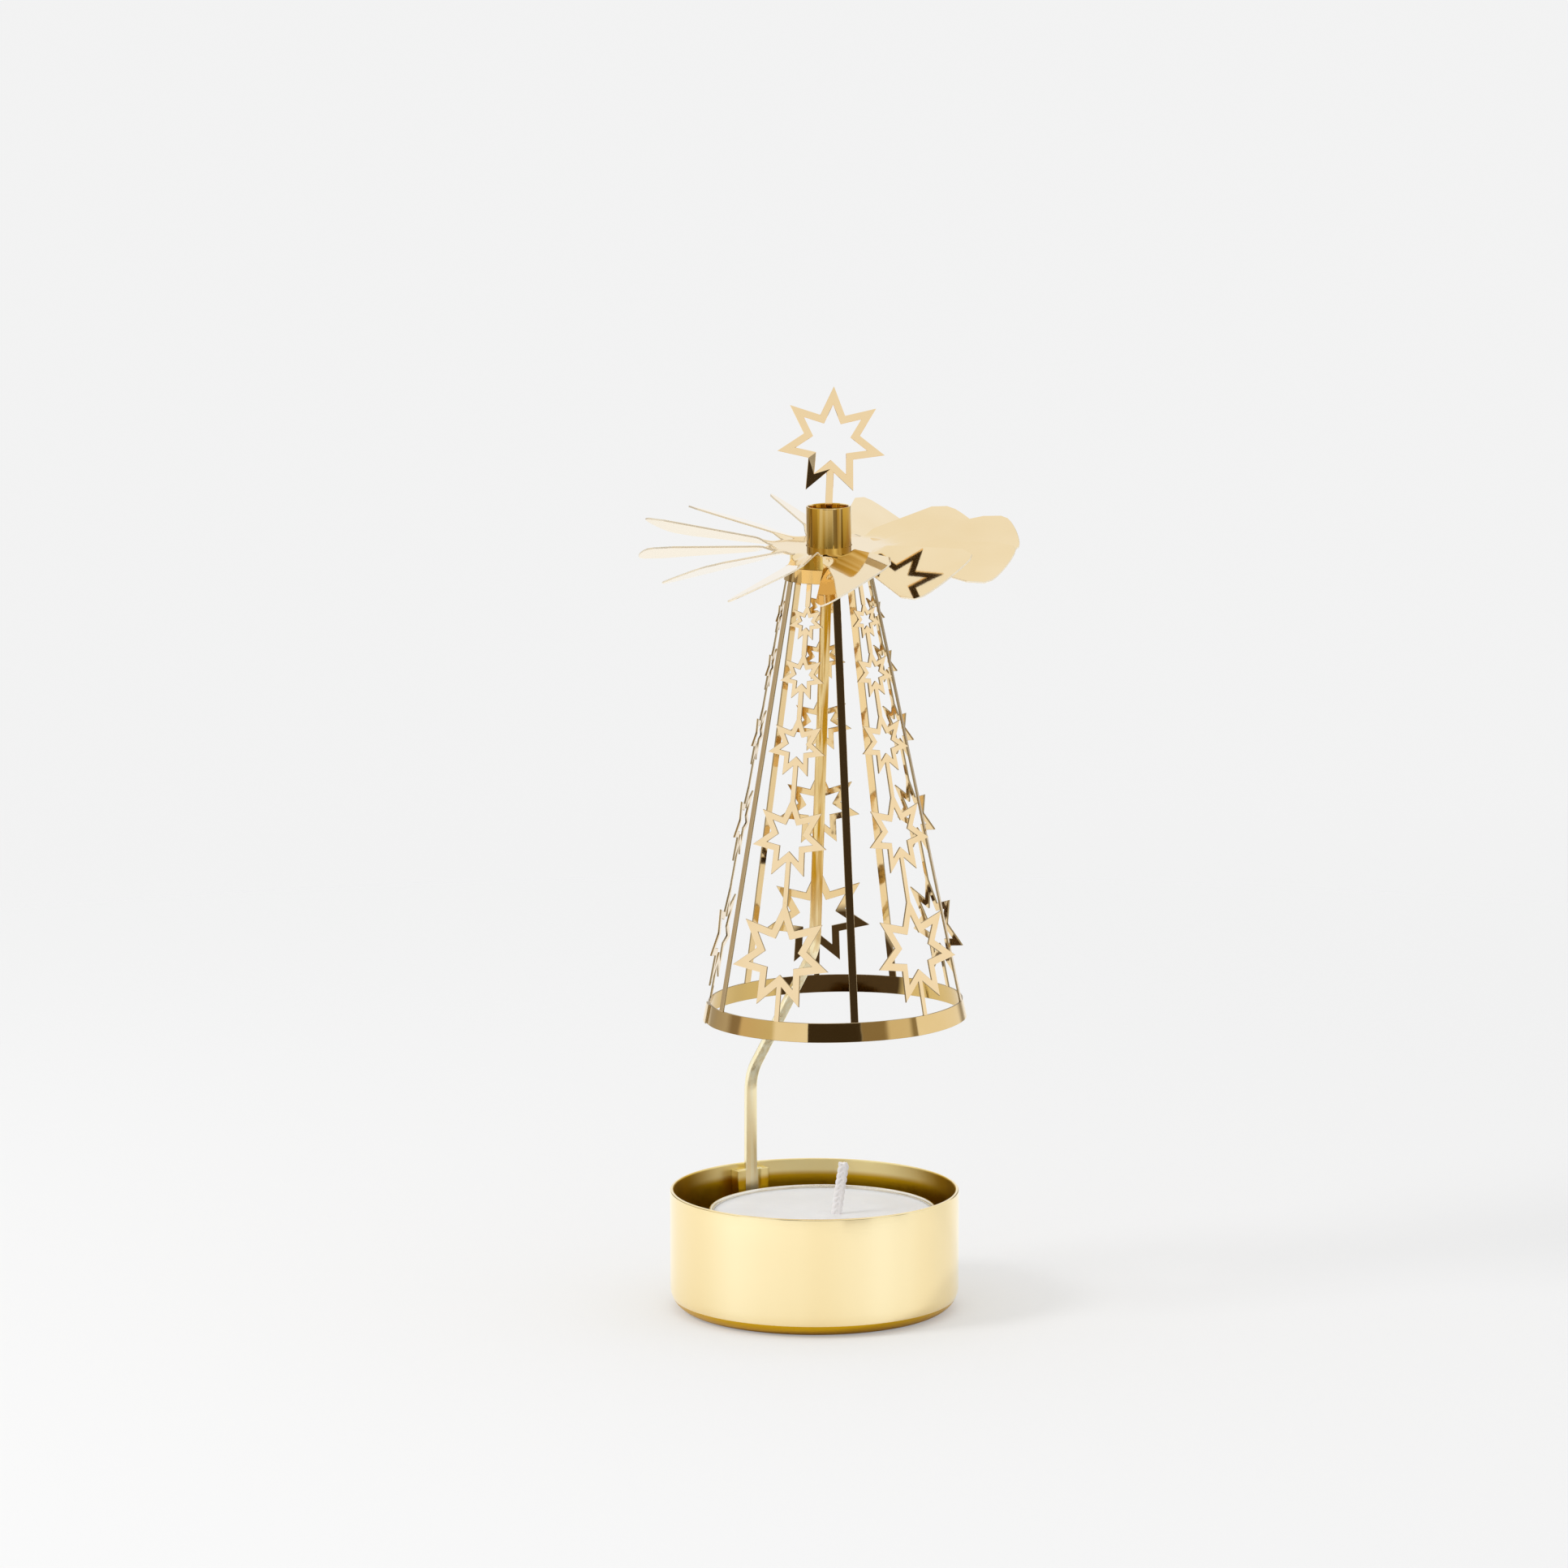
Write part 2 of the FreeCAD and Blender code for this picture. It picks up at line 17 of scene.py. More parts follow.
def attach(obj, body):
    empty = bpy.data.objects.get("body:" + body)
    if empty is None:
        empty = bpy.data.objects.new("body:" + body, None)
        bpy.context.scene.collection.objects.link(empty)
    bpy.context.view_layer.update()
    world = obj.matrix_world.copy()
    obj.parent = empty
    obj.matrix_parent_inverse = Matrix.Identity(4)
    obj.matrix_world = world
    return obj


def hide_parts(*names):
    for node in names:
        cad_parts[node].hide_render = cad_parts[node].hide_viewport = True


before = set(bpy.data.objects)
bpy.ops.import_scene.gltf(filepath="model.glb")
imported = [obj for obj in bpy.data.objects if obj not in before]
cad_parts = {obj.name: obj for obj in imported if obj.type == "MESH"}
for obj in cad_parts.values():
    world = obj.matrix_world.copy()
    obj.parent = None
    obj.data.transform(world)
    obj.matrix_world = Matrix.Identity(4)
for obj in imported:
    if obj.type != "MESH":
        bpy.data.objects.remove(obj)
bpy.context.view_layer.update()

MM = 0.001
SHARP_ANGLE = 35.0
FLAT_ANGLE = 1.0
LOG = logging.getLogger("star_carousel")

Point = tuple[float, float]
Triple = tuple[float, float, float]
Mesh = bpy.types.Mesh
Material = bpy.types.Material
Socket = bpy.types.NodeSocket
Number = Union[float, Socket]
Arrow = Union[Triple, Socket]
Reshape = Callable[[float, float, float], Point]


class Body(Enum):
    """The bodies that pieces ride on."""

    STAND = "root"
    TEALIGHT = "tealight"
    ROTOR = "rotor"


@dataclass(frozen=True)
class RotorAxis:
    """Where the rotor hangs: the arm's point, and the lean at which the rotor settles on it."""

    x: float = 2.3
    height: float = 135.15
    lean: float = 0.85

    def hang(self) -> Matrix:
        """The move, in metres, from the rotor's upright drawing to its place on the point.

        Returns:
            The matrix.
        """
        up = Matrix.Translation((0, 0, -self.height * MM))
        turn = Matrix.Rotation(math.radians(-self.lean), 4, "Y")
        return Matrix.Translation((self.x * MM, 0, self.height * MM)) @ turn @ up


@dataclass(frozen=True)
class SkirtCone:
    """The cone on which the skirt's bars and stars lie."""

    sheet: float = 0.3
    hem_radius: float = 22.1
    hem_low: float = 50.05
    hem_width: float = 3.15
    band_radius: float = 6.95
    band_high: float = 127.2
    band_width: float = 2.3

    @property
    def hem_high(self) -> float:
        """The height of the hem's upper edge."""
        return self.hem_low + self.hem_width

    @property
    def band_low(self) -> float:
        """The height of the top band's lower edge."""
        return self.band_high - self.band_width

    @property
    def slope(self) -> float:
        """How much the radius grows for each millimetre down."""
        return (self.hem_radius - self.band_radius) / (self.band_high - self.hem_low)

    @property
    def lean(self) -> float:
        """The cone's half angle in radians."""
        return math.atan(self.slope)

    @property
    def length(self) -> float:
        """The length along the cone from the hem to the top band."""
        return (self.band_low - self.hem_high) / math.cos(self.lean)

    def radius(self, height: float) -> float:
        """The outer radius at a height."""
        return self.band_radius + self.slope * (self.band_high - height)

    def lay(self) -> Matrix:
        """The move, in metres, that lays a flat sheet, drawn on XY from Y = 0 up, on the cone.

        Returns:
            The matrix.
        """
        sine, cosine = math.sin(self.lean), math.cos(self.lean)
        foot = Matrix.Translation((self.radius(self.hem_high) * MM, 0, self.hem_high * MM))
        turn = Matrix(((0, -sine, cosine, 0), (1, 0, 0, 0), (0, cosine, sine, 0), (0, 0, 0, 1)))
        return foot @ turn @ Matrix.Translation((0, 0, -self.sheet * MM))


AXIS = RotorAxis()
CONE = SkirtCone()


class Nodes:
    """A node tree, with short ways to add nodes and to reckon with their sockets."""

    def __init__(self, graph: bpy.types.NodeTree) -> None:
        """Takes the tree that is worked on."""
        self.graph = graph

    def add(self, kind: str, inputs: Optional[dict] = None, **settings: object) -> bpy.types.Node:
        """Adds a node.

        Args:
            kind: the node's type.
            inputs: values or sockets for its inputs, by name or number.
            settings: its own properties.

        Returns:
            The new node.
        """
        node = self.graph.nodes.new(kind)
        for key, value in settings.items():
            setattr(node, key, value)
        for key, value in (inputs or {}).items():
            if isinstance(value, Socket):
                self.graph.links.new(value, node.inputs[key])
            else:
                node.inputs[key].default_value = value
        return node

    def get(self, kind: str, inputs: Optional[dict] = None, out: Union[int, str] = 0,
            **settings: object) -> Socket:
        """Adds a node and gives one of its outputs."""
        return self.add(kind, inputs, **settings).outputs[out]

    def sum(self, operation: str, first: Number, second: Number = 0.0, third: Number = 0.0,
            **settings: object) -> Socket:
        """The result of one sum on sockets or numbers."""
        return self.get("ShaderNodeMath", {0: first, 1: second, 2: third}, operation=operation, **settings)

    def arrow(self, operation: str, first: Arrow, second: Arrow = (0.0, 0.0, 0.0),
              out: Union[int, str] = 0) -> Socket:
        """The result of one sum on vectors; a plain number comes out at Value."""
        return self.get("ShaderNodeVectorMath", {0: first, 1: second}, out, operation=operation)

    def vector(self, x: Number = 0.0, y: Number = 0.0, z: Number = 0.0) -> Socket:
        """A vector from sockets or numbers."""
        return self.get("ShaderNodeCombineXYZ", {0: x, 1: y, 2: z})

    def ramp(self, value: Socket, low: Number, high: Number, ends: Point = (0.0, 1.0),
             soft: bool = False) -> Socket:
        """Runs from one end to the other while the value runs from low to high, eased if soft."""
        inputs = {"Value": value, "From Min": low, "From Max": high, "To Min": ends[0], "To Max": ends[1]}
        return self.get("ShaderNodeMapRange", inputs, interpolation_type="SMOOTHSTEP" if soft else "LINEAR")

    def mix(self, factor: Socket, first: Arrow, second: Arrow) -> Socket:
        """Mixes two colours, each a socket or plain."""
        ends = [end if isinstance(end, Socket) else (*end, 1) for end in (first, second)]
        return self.get("ShaderNodeMix", {0: factor, 6: ends[0], 7: ends[1]}, 2, data_type="RGBA")

    def mix_numbers(self, factor: Socket, first: Number, second: Number) -> Socket:
        """Mixes two numbers, each a socket or plain."""
        return self.get("ShaderNodeMix", {0: factor, 2: first, 3: second})

    def mix_surfaces(self, factor: Socket, first: Socket, second: Socket) -> Socket:
        """Mixes two surfaces."""
        return self.get("ShaderNodeMixShader", {0: factor, 1: first, 2: second})


class Shader(Nodes):
    """The nodes of a material."""

    def __init__(self, name: str) -> None:
        """Starts an empty material.

        Args:
            name: the material's name.
        """
        self.material = bpy.data.materials.new(name)
        self.material.use_nodes = True
        super().__init__(self.material.node_tree)
        self.graph.nodes.clear()

    def place(self, stretch: Optional[Triple] = None) -> Socket:
        """The object's own coordinates in metres, stretched along its axes if asked."""
        place = self.get("ShaderNodeTexCoord", out="Object")
        return self.get("ShaderNodeMapping", {"Vector": place, "Scale": stretch}) if stretch else place

    def noise(self, size: float, detail: float, stretch: Optional[Triple] = None) -> Socket:
        """A noise whose features are about size millimetres wide before they are stretched."""
        inputs = {"Vector": self.place(stretch), "Scale": 1 / (size * MM), "Detail": detail}
        return self.get("ShaderNodeTexNoise", inputs)

    def between(self, factor: Socket, low: float, high: float) -> Socket:
        """Maps a factor from 0..1 to low..high."""
        return self.ramp(factor, 0.0, 1.0, (low, high))

    def gloss(self, marks: Socket, middle: float, spread: Point = (0.7, 1.4)) -> Socket:
        """A roughness that the marks spread round its middle value."""
        return self.between(marks, middle * spread[0], middle * spread[1])

    def fade(self, value: Socket, span: Point, soft: bool = False) -> Socket:
        """Zero at the first and one at the second of two places in millimetres."""
        return self.ramp(value, span[0] * MM, span[1] * MM, soft=soft)

    def bump(self, height: Socket, depth: float, under: Optional[Socket] = None) -> Socket:
        """A bump whose full depth is in millimetres, over another one if given."""
        inputs = {"Height": height, "Distance": depth * MM, "Strength": 1.0}
        return self.get("ShaderNodeBump", inputs if under is None else {**inputs, "Normal": under})

    def metal(self, colour: Socket, roughness: Socket, normal: Socket) -> Material:
        """Ends the tree in bare metal."""
        return self.finish({"Base Color": colour, "Metallic": 1.0, "Roughness": roughness, "Normal": normal})

    def finish(self, inputs: dict) -> Material:
        """Ends the tree in a Principled shader with these inputs."""
        return self.close(self.get("ShaderNodeBsdfPrincipled", inputs))

    def close(self, surface: Socket) -> Material:
        """Ends the tree in a surface."""
        self.add("ShaderNodeOutputMaterial", {"Surface": surface})
        return self.material


@dataclass(frozen=True)
class PolishedBrass:
    """Thin sheet brass under clear lacquer: soft tone changes, faint waves and fine polishing marks.

    Sizes and depths are in millimetres, and a detail is how many finer layers a noise has.
    """

    name: str
    colour: Triple
    deep_colour: Triple
    roughness: float = 0.08
    wave_size: float = 9.0
    wave_detail: float = 2.0
    wave_depth: float = 0.02
    mark_size: float = 0.5
    mark_detail: float = 3.0
    mark_stretch: Triple = (1.0, 1.0, 0.12)
    mark_depth: float = 0.0004

    def build(self) -> Material:
        """The material.

        Returns:
            The material.
        """
        shader = Shader(self.name)
        tone = shader.noise(self.wave_size, self.wave_detail)
        marks = shader.noise(self.mark_size, self.mark_detail, self.mark_stretch)
        colour, gloss = self.dressed(shader, tone, marks)
        waves = shader.bump(tone, self.wave_depth)
        return shader.metal(colour, gloss, shader.bump(marks, self.mark_depth, waves))

    def dressed(self, shader: Shader, tone: Socket, marks: Socket) -> tuple[Socket, Socket]:
        """The colour and the roughness, from the soft tone changes and the fine marks."""
        return shader.mix(tone, self.deep_colour, self.colour), shader.gloss(marks, self.roughness)


@dataclass(frozen=True)
class CutSheetBrass(PolishedBrass):
    """Sheet brass with dull cut edges in a painted edge colour, a back in painted shade and a patch of
    painted dark reflection on that back.

    Attributes:
        edge_roughness: how dull the cut edges are.
        edge_facing: how much a face has to look along the sheet to be left alone, and to be all edge.
        shaded_back_colour: painted shade on the side that faces the axis, or down when the sheet lies flat.
        axis_x: where the axis that the sheet is bent round stands, in millimetres.
        lying: the sheet lies flat instead of round the axis.
        dark_reflection_place: the middle of the patch of painted dark reflection on the back, in millimetres.
        dark_reflection_reach: where the painted dark reflection ends and where it is full, in millimetres
            from that middle.
    """

    # The cut edges' colour is painted light: by default darker, a painted shade; on the fan paler, a painted
    # highlight. Their duller roughness is the cut's own.
    painted_edge_colour: Triple = (0.36, 0.27, 0.14)
    edge_roughness: float = 0.3
    edge_facing: Point = (0.80, 0.68)
    shaded_back_colour: Triple = (0.78, 0.58, 0.30)
    axis_x: float = AXIS.x
    lying: bool = False
    dark_reflection_place: Triple = (4.5, 23.5, 54.0)
    dark_reflection_reach: Point = (12.8, 11.2)
    dark_reflection_colour: Triple = (0.06, 0.032, 0.010)

    def dressed(self, shader: Shader, tone: Socket, marks: Socket) -> tuple[Socket, Socket]:
        """Adds the back in painted shade, its patch of painted dark reflection and the cut edges with their
        painted edge colour to the polished front.

        Args:
            shader: the material's nodes.
            tone: the soft tone changes.
            marks: the fine marks.

        Returns:
            The colour and the roughness.
        """
        front, gloss = super().dressed(shader, tone, marks)
        place = shader.place()
        outward: Arrow = (0.0, 0.0, 1.0)
        if not self.lying:
            centred = shader.arrow("SUBTRACT", place, (self.axis_x * MM, 0.0, 0.0))
            outward = shader.arrow("NORMALIZE", shader.arrow("MULTIPLY", centred, (1.0, 1.0, 0.0)))
        normal = shader.get("ShaderNodeTexCoord", out="Normal")
        facing = shader.arrow("DOT_PRODUCT", normal, outward, "Value")
        cut = shader.ramp(shader.sum("ABSOLUTE", facing), *self.edge_facing)
        # The faces towards the axis, or down when the sheet lies flat, get a darker colour as painted shade,
        # and near the given middle a painted dark reflection.
        back = shader.sum("LESS_THAN", facing, 0.0)
        way = shader.arrow("DISTANCE", place, tuple(value * MM for value in self.dark_reflection_place), "Value")
        shaded_back = shader.mix(shader.fade(way, self.dark_reflection_reach), self.shaded_back_colour, self.dark_reflection_colour)
        # The cut edges get the painted edge colour and their duller roughness.
        colour = shader.mix(cut, shader.mix(back, front, shaded_back), self.painted_edge_colour)
        return colour, shader.mix_numbers(cut, gloss, self.edge_roughness)


@dataclass(frozen=True)
class DrawnStripBrass(PolishedBrass):
    """Strip drawn through a die: pale and deep gold streaks along its length, darkened past given heights as
    painted shade.

    Attributes:
        shade_colour: the colour in the painted shade.
        shade_deep: the deep streaks there.
        shade_heights: where the painted shade begins and where it is full, in millimetres.
        streak_size: the width of a streak, in millimetres.
        streak_stretch: how far the streaks are drawn out.
        streak_span: the part of the noise that goes from deep to pale.
        drift_size: how far the streaks run before they grow stronger or weaker, in millimetres.
        drift_share: the weakest and the strongest of them.
    """

    shade_colour: Triple = (0.97, 0.78, 0.40)
    shade_deep: Triple = (0.56, 0.29, 0.02)
    shade_heights: Point = (54.0, 74.0)
    streak_size: float = 0.9
    streak_stretch: Triple = (1.0, 1.0, 0.045)
    streak_span: Point = (0.43, 0.57)
    drift_size: float = 12.0
    drift_share: Point = (0.5, 1.3)

    def build(self) -> Material:
        """The material.

        Returns:
            The material.
        """
        shader = Shader(self.name)
        streaks = shader.noise(self.streak_size, self.wave_detail, self.streak_stretch)
        drift = shader.between(shader.noise(self.drift_size, self.wave_detail), *self.drift_share)
        share = shader.sum("MULTIPLY", shader.ramp(streaks, *self.streak_span), drift, use_clamp=True)
        # Past the given heights the strip darkens as painted shade: inside the skirt on the arm, under the
        # fan on the hub.
        shade_share = shader.fade(shader.get("ShaderNodeSeparateXYZ", {0: shader.place()}, "Z"), self.shade_heights)
        colour = shader.mix(shade_share, shader.mix(share, self.deep_colour, self.colour),
                            shader.mix(share, self.shade_deep, self.shade_colour))
        return shader.metal(colour, shader.gloss(streaks, self.roughness),
                            shader.bump(streaks, self.wave_depth))


@dataclass(frozen=True)
class SpunBrass(PolishedBrass):
    """Brass drawn into a cup: broad upright bands of painted reflection outside, duller inside, in painted
    shade with a painted highlight.

    Attributes:
        spread: how much the marks vary the roughness outside.
        reflection_band_count: how many pale bands of painted reflection the outside has.
        reflection_band_share: how strong the painted reflection bands are.
        drift_scale, drift_detail: the slow noise round the cup that makes the bands uneven.
        inside_radius: nearer to the axis than this, in millimetres, is inside.
        inside_highlight, inside_shade: the painted highlight on the inside's upper back, and the painted
            shade on its deep rest.
        inside_fade: the heights between which the painted highlight grows, in millimetres.
        inside_rear: the places along Y between which the painted highlight grows, in millimetres.
        inside_roughness, inside_spread: the roughness inside, and how much the grain varies it.
        grain_size, grain_detail, grain_stretch, grain_share: the grain inside and its share in the colour.
    """

    wave_detail: float = 1.0
    mark_size: float = 0.45
    mark_stretch: Triple = (0.1, 0.1, 1.0)
    spread: Point = (0.75, 1.3)
    reflection_band_count: float = 6.0
    reflection_band_share: float = 0.26
    drift_scale: float = 2.2
    drift_detail: float = 1.5
    inside_radius: float = 24.0
    inside_highlight: Triple = (1.0, 0.87, 0.46)
    inside_shade: Triple = (0.63, 0.38, 0.004)
    inside_fade: Point = (17.6, 18.8)
    inside_rear: Point = (9.0, 21.0)
    inside_roughness: float = 0.30
    inside_spread: Point = (0.8, 1.3)
    grain_size: float = 0.8
    grain_detail: float = 4.0
    grain_stretch: Triple = (1.0, 1.0, 0.4)
    grain_share: float = 0.03

    def dressed(self, shader: Shader, tone: Socket, marks: Socket) -> tuple[Socket, Socket]:
        """Painted reflection bands by the turn about the axis outside, and inside a painted shade growing
        into a painted highlight, over a fine grain.

        Args:
            shader: the material's nodes.
            tone: the soft tone changes.
            marks: the fine marks.

        Returns:
            The colour and the roughness.
        """
        x, y, z = shader.add("ShaderNodeSeparateXYZ", {0: shader.place()}).outputs
        # The outside's pale upright bands are a painted reflection, made uneven by a random drift.
        turn = shader.sum("ARCTAN2", y, x)
        reflection_lobe = shader.sum("COSINE", shader.sum("MULTIPLY", turn, self.reflection_band_count))
        drift = shader.get("ShaderNodeTexNoise", {"Vector": shader.vector(turn), "Scale": self.drift_scale,
                                                  "Detail": self.drift_detail})
        band = shader.sum("MULTIPLY_ADD", reflection_lobe, self.reflection_band_share, drift, use_clamp=True)
        grain = shader.noise(self.grain_size, self.grain_detail, self.grain_stretch)
        # Inside, a painted shade grows into a painted highlight towards the upper back, with the metal's own
        # fine grain over it.
        pale = shader.sum("MULTIPLY", shader.fade(z, self.inside_fade, True),
                          shader.fade(y, self.inside_rear, True))
        grain_and_painted_light = shader.sum("MULTIPLY_ADD", grain, self.grain_share, pale, use_clamp=True)
        reach = shader.arrow("LENGTH", shader.vector(x, y), out="Value")
        inside = shader.sum("LESS_THAN", reach, self.inside_radius * MM)
        colour = shader.mix(inside, shader.mix(band, self.deep_colour, self.colour),
                            shader.mix(grain_and_painted_light, self.inside_shade, self.inside_highlight))
        return colour, shader.mix_numbers(inside, shader.gloss(marks, self.roughness, self.spread),
                                          shader.gloss(grain, self.inside_roughness, self.inside_spread))


@dataclass(frozen=True)
class Grain:
    """A noise by its size, its detail, its depth in the surface and its stretch."""

    size: float
    detail: float
    depth: float
    stretch: Optional[Triple] = None


@dataclass(frozen=True)
class GrainedFinish:
    """A finish whose colour follows its first grain and whose roughness follows its last.

    Attributes:
        dark, light: the two ends of its colour.
        roughness: the two ends of its roughness.
        grains: its grains, the deepest first.
        inputs: further values of the Principled shader.
    """

    name: str
    dark: Triple
    light: Triple
    roughness: Point
    grains: tuple[Grain, ...]
    inputs: dict = field(default_factory=dict)

    def build(self) -> Material:
        """The material.

        Returns:
            The material.
        """
        shader = Shader(self.name)
        noises = [shader.noise(grain.size, grain.detail, grain.stretch) for grain in self.grains]
        normal = None
        for grain, noise in zip(self.grains, noises):
            normal = shader.bump(noise, grain.depth, normal)
        return shader.finish({"Base Color": shader.mix(noises[0], self.dark, self.light),
                              "Roughness": shader.between(noises[-1], *self.roughness),
                              "Normal": normal, **self.inputs})


class Finishes:
    """Every finish of the object, built once."""

    def __init__(self) -> None:
        """Builds the materials."""
        # The cup: painted reflection bands outside, painted shade and a painted highlight inside.
        self.cup = SpunBrass("cup_brass", (1.0, 0.87, 0.55), (0.90, 0.73, 0.40), roughness=0.13).build()
        # The arm darkens above the hem, inside the skirt, as painted shade.
        self.arm = DrawnStripBrass("arm_brass", (1.0, 0.95, 0.71), (0.98, 0.87, 0.57), roughness=0.30,
                                   wave_depth=0.01).build()
        # The skirt's sheet: back in painted shade, a painted dark reflection low on the back, and cut edges
        # darkened as painted shade.
        self.sheet = CutSheetBrass("sheet_brass", (0.98, 0.78, 0.50), (0.92, 0.70, 0.40), roughness=0.05,
                                   wave_size=3.5, wave_depth=0.03).build()
        # The hem: its back darker still as painted shade, with the same painted dark reflection and dark
        # painted edges.
        self.hem = CutSheetBrass("hem_brass", (0.86, 0.65, 0.33), (0.80, 0.57, 0.25), roughness=0.06,
                                 wave_size=6.0, wave_depth=0.03, shaded_back_colour=(0.62, 0.43, 0.15)).build()
        self.star = PolishedBrass("finial_brass", (0.92, 0.72, 0.44), (0.87, 0.66, 0.37),
                                  roughness=0.06).build()
        # The fan: cut edges paler as a painted highlight, and its underside a little darker as painted shade.
        self.fan = CutSheetBrass("fan_brass", (0.96, 0.80, 0.53), (0.88, 0.68, 0.37), roughness=0.035,
                                 wave_size=14.0, wave_depth=0.012, painted_edge_colour=(0.91, 0.83, 0.68),
                                 shaded_back_colour=(0.92, 0.76, 0.48), edge_roughness=0.5, lying=True).build()
        # The plug deep in the sleeve's mouth is near black as painted shade.
        self.bearing_shade = PolishedBrass("bearing_shade_brass", (0.16, 0.10, 0.03), (0.08, 0.05, 0.02),
                                     roughness=0.35).build()
        # The hub sleeve and collar darken downwards towards the fan as painted shade.
        self.hub = DrawnStripBrass("hub_brass", (1.0, 0.85, 0.52), (0.62, 0.36, 0.05), roughness=0.07,
                                   wave_depth=0.02, shade_colour=(0.88, 0.63, 0.19), shade_deep=(0.34, 0.18, 0.02),
                                   shade_heights=(137.5, 131.0), streak_size=2.4).build()
        self.foil = GrainedFinish("tealight_foil", (0.80, 0.76, 0.68), (0.93, 0.90, 0.84), (0.18, 0.34),
                                  (Grain(1.6, 4.0, 0.03),), {"Metallic": 1.0}).build()
        self.wax = GrainedFinish("candle_wax", (0.80, 0.80, 0.81), (0.89, 0.89, 0.89), (0.36, 0.55),
                                 (Grain(5.0, 4.0, 0.15), Grain(0.6, 2.0, 0.02)),
                                 {"Subsurface Weight": 0.25, "Subsurface Radius": (1.0, 0.9, 0.8),
                                  "Subsurface Scale": 0.0015}).build()
        self.wick = GrainedFinish("wick_cotton", (0.93, 0.91, 0.92), (0.99, 0.97, 0.98), (0.6, 0.85),
                                  (Grain(0.18, 3.0, 0.05, (1.0, 1.0, 0.35)),), {"Sheen Weight": 0.3}).build()


def placed(name: str, data: bpy.types.ID) -> bpy.types.Object:
    """A new object in the scene, at the origin.

    Args:
        name: its name.
        data: its mesh, camera or lamp.

    Returns:
        The object.
    """
    thing = bpy.data.objects.new(name, data)
    bpy.context.scene.collection.objects.link(thing)
    return thing


def piece_from(name: str, mesh: Mesh, body: Body, material: Material, replaces: Sequence[str],
               crease: float = 25.0) -> None:
    """Puts a finished mesh into the scene as a piece of the object.

    Args:
        name: the piece's name.
        mesh: its mesh, in metres and in place; the rotor's are drawn upright and are hung here.
        body: what it rides on.
        material: its finish.
        replaces: the frame's nodes that it stands for.
        crease: edges sharper than this many degrees stay sharp.
    """
    if body is Body.ROTOR:
        mesh.transform(AXIS.hang())
    mesh.name = name
    mesh.materials.clear()
    mesh.materials.append(material)
    mesh.polygons.foreach_set("use_smooth", np.ones(len(mesh.polygons), bool))
    mesh.set_sharp_from_angle(angle=math.radians(crease))
    piece = placed(name, mesh)
    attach(piece, body.value)
    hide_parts(*replaces)
    LOG.info("%s: %d faces", name, len(mesh.polygons))


def clean(mesh: Mesh, gap: float = 0.0005, flat: float = 0.0) -> None:
    """Welds doubles and turns the faces outwards.

    Args:
        mesh: the mesh that is changed.
        gap: corners nearer than this many millimetres become one.
        flat: faces that meet at less than this many degrees are joined.
    """
    work = bmesh.new()
    work.from_mesh(mesh)
    bmesh.ops.remove_doubles(work, verts=work.verts, dist=gap * MM)
    if flat:
        bmesh.ops.dissolve_limit(work, angle_limit=math.radians(flat), verts=work.verts, edges=work.edges)
    bmesh.ops.recalc_face_normals(work, faces=work.faces)
    work.to_mesh(mesh)
    work.free()


def make_mesh(spots: Sequence[Sequence[float]], faces: Sequence[Sequence[int]], closed: bool = True) -> Mesh:
    """A mesh in metres from corners in millimetres; a closed one is welded and its faces turned outwards.

    Args:
        spots: its corners, in millimetres.
        faces: the corners of each face, by number.
        closed: weld it and turn its faces outwards.

    Returns:
        The mesh, in metres.
    """
    mesh = bpy.data.meshes.new("shape")
    mesh.from_pydata([tuple(value * MM for value in spot) for spot in spots], [], faces)
    if closed:
        clean(mesh)
    return mesh


def loft(rows: Sequence[Sequence[int]]) -> list[list[int]]:
    """Faces between rings of corners, each a row of numbers; a ring may be one corner repeated.

    Args:
        rows: the rings, in order.

    Returns:
        The corners of each face.
    """
    faces = []
    for low, high in zip(rows, rows[1:]):
        for place in range(len(low)):
            after = (place + 1) % len(low)
            corners = dict.fromkeys((low[place], low[after], high[after], high[place]))
            if len(corners) > 2:
                faces.append(list(corners))
    return faces


def lathe(profile: Sequence[Point], segments: int, x: float = 0.0, reshape: Optional[Reshape] = None) -> Mesh:
    """Turns a profile about the upright axis.

    Args:
        profile: corners (radius, height) in order; it is closed where its ends aren't on the axis.
        segments: how many steps the turn has.
        x: where the axis stands.
        reshape: changes (radius, height, turn) into a new (radius, height).

    Returns:
        The closed mesh.
    """
    spots: list[Triple] = []
    rows = []
    for radius, height in profile:
        if radius == 0:
            rows.append([len(spots)] * segments)
            spots.append((x, 0.0, height))
            continue
        rows.append(list(range(len(spots), len(spots) + segments)))
        for place in range(segments):
            turn = 2 * math.pi * place / segments
            r, z = reshape(radius, height, turn) if reshape else (radius, height)
            spots.append((x + r * math.cos(turn), r * math.sin(turn), z))
    if profile[0][0] != 0 or profile[-1][0] != 0:
        rows.append(rows[0])
    return make_mesh(spots, loft(rows))


def bow(centre: Point, radius: float, start: float, end: float, steps: int) -> list[Point]:
    """Points along an arc of a profile, between two angles in degrees."""
    angles = [math.radians(start + (end - start) * step / steps) for step in range(steps + 1)]
    return [(centre[0] + radius * math.cos(angle), centre[1] + radius * math.sin(angle)) for angle in angles]


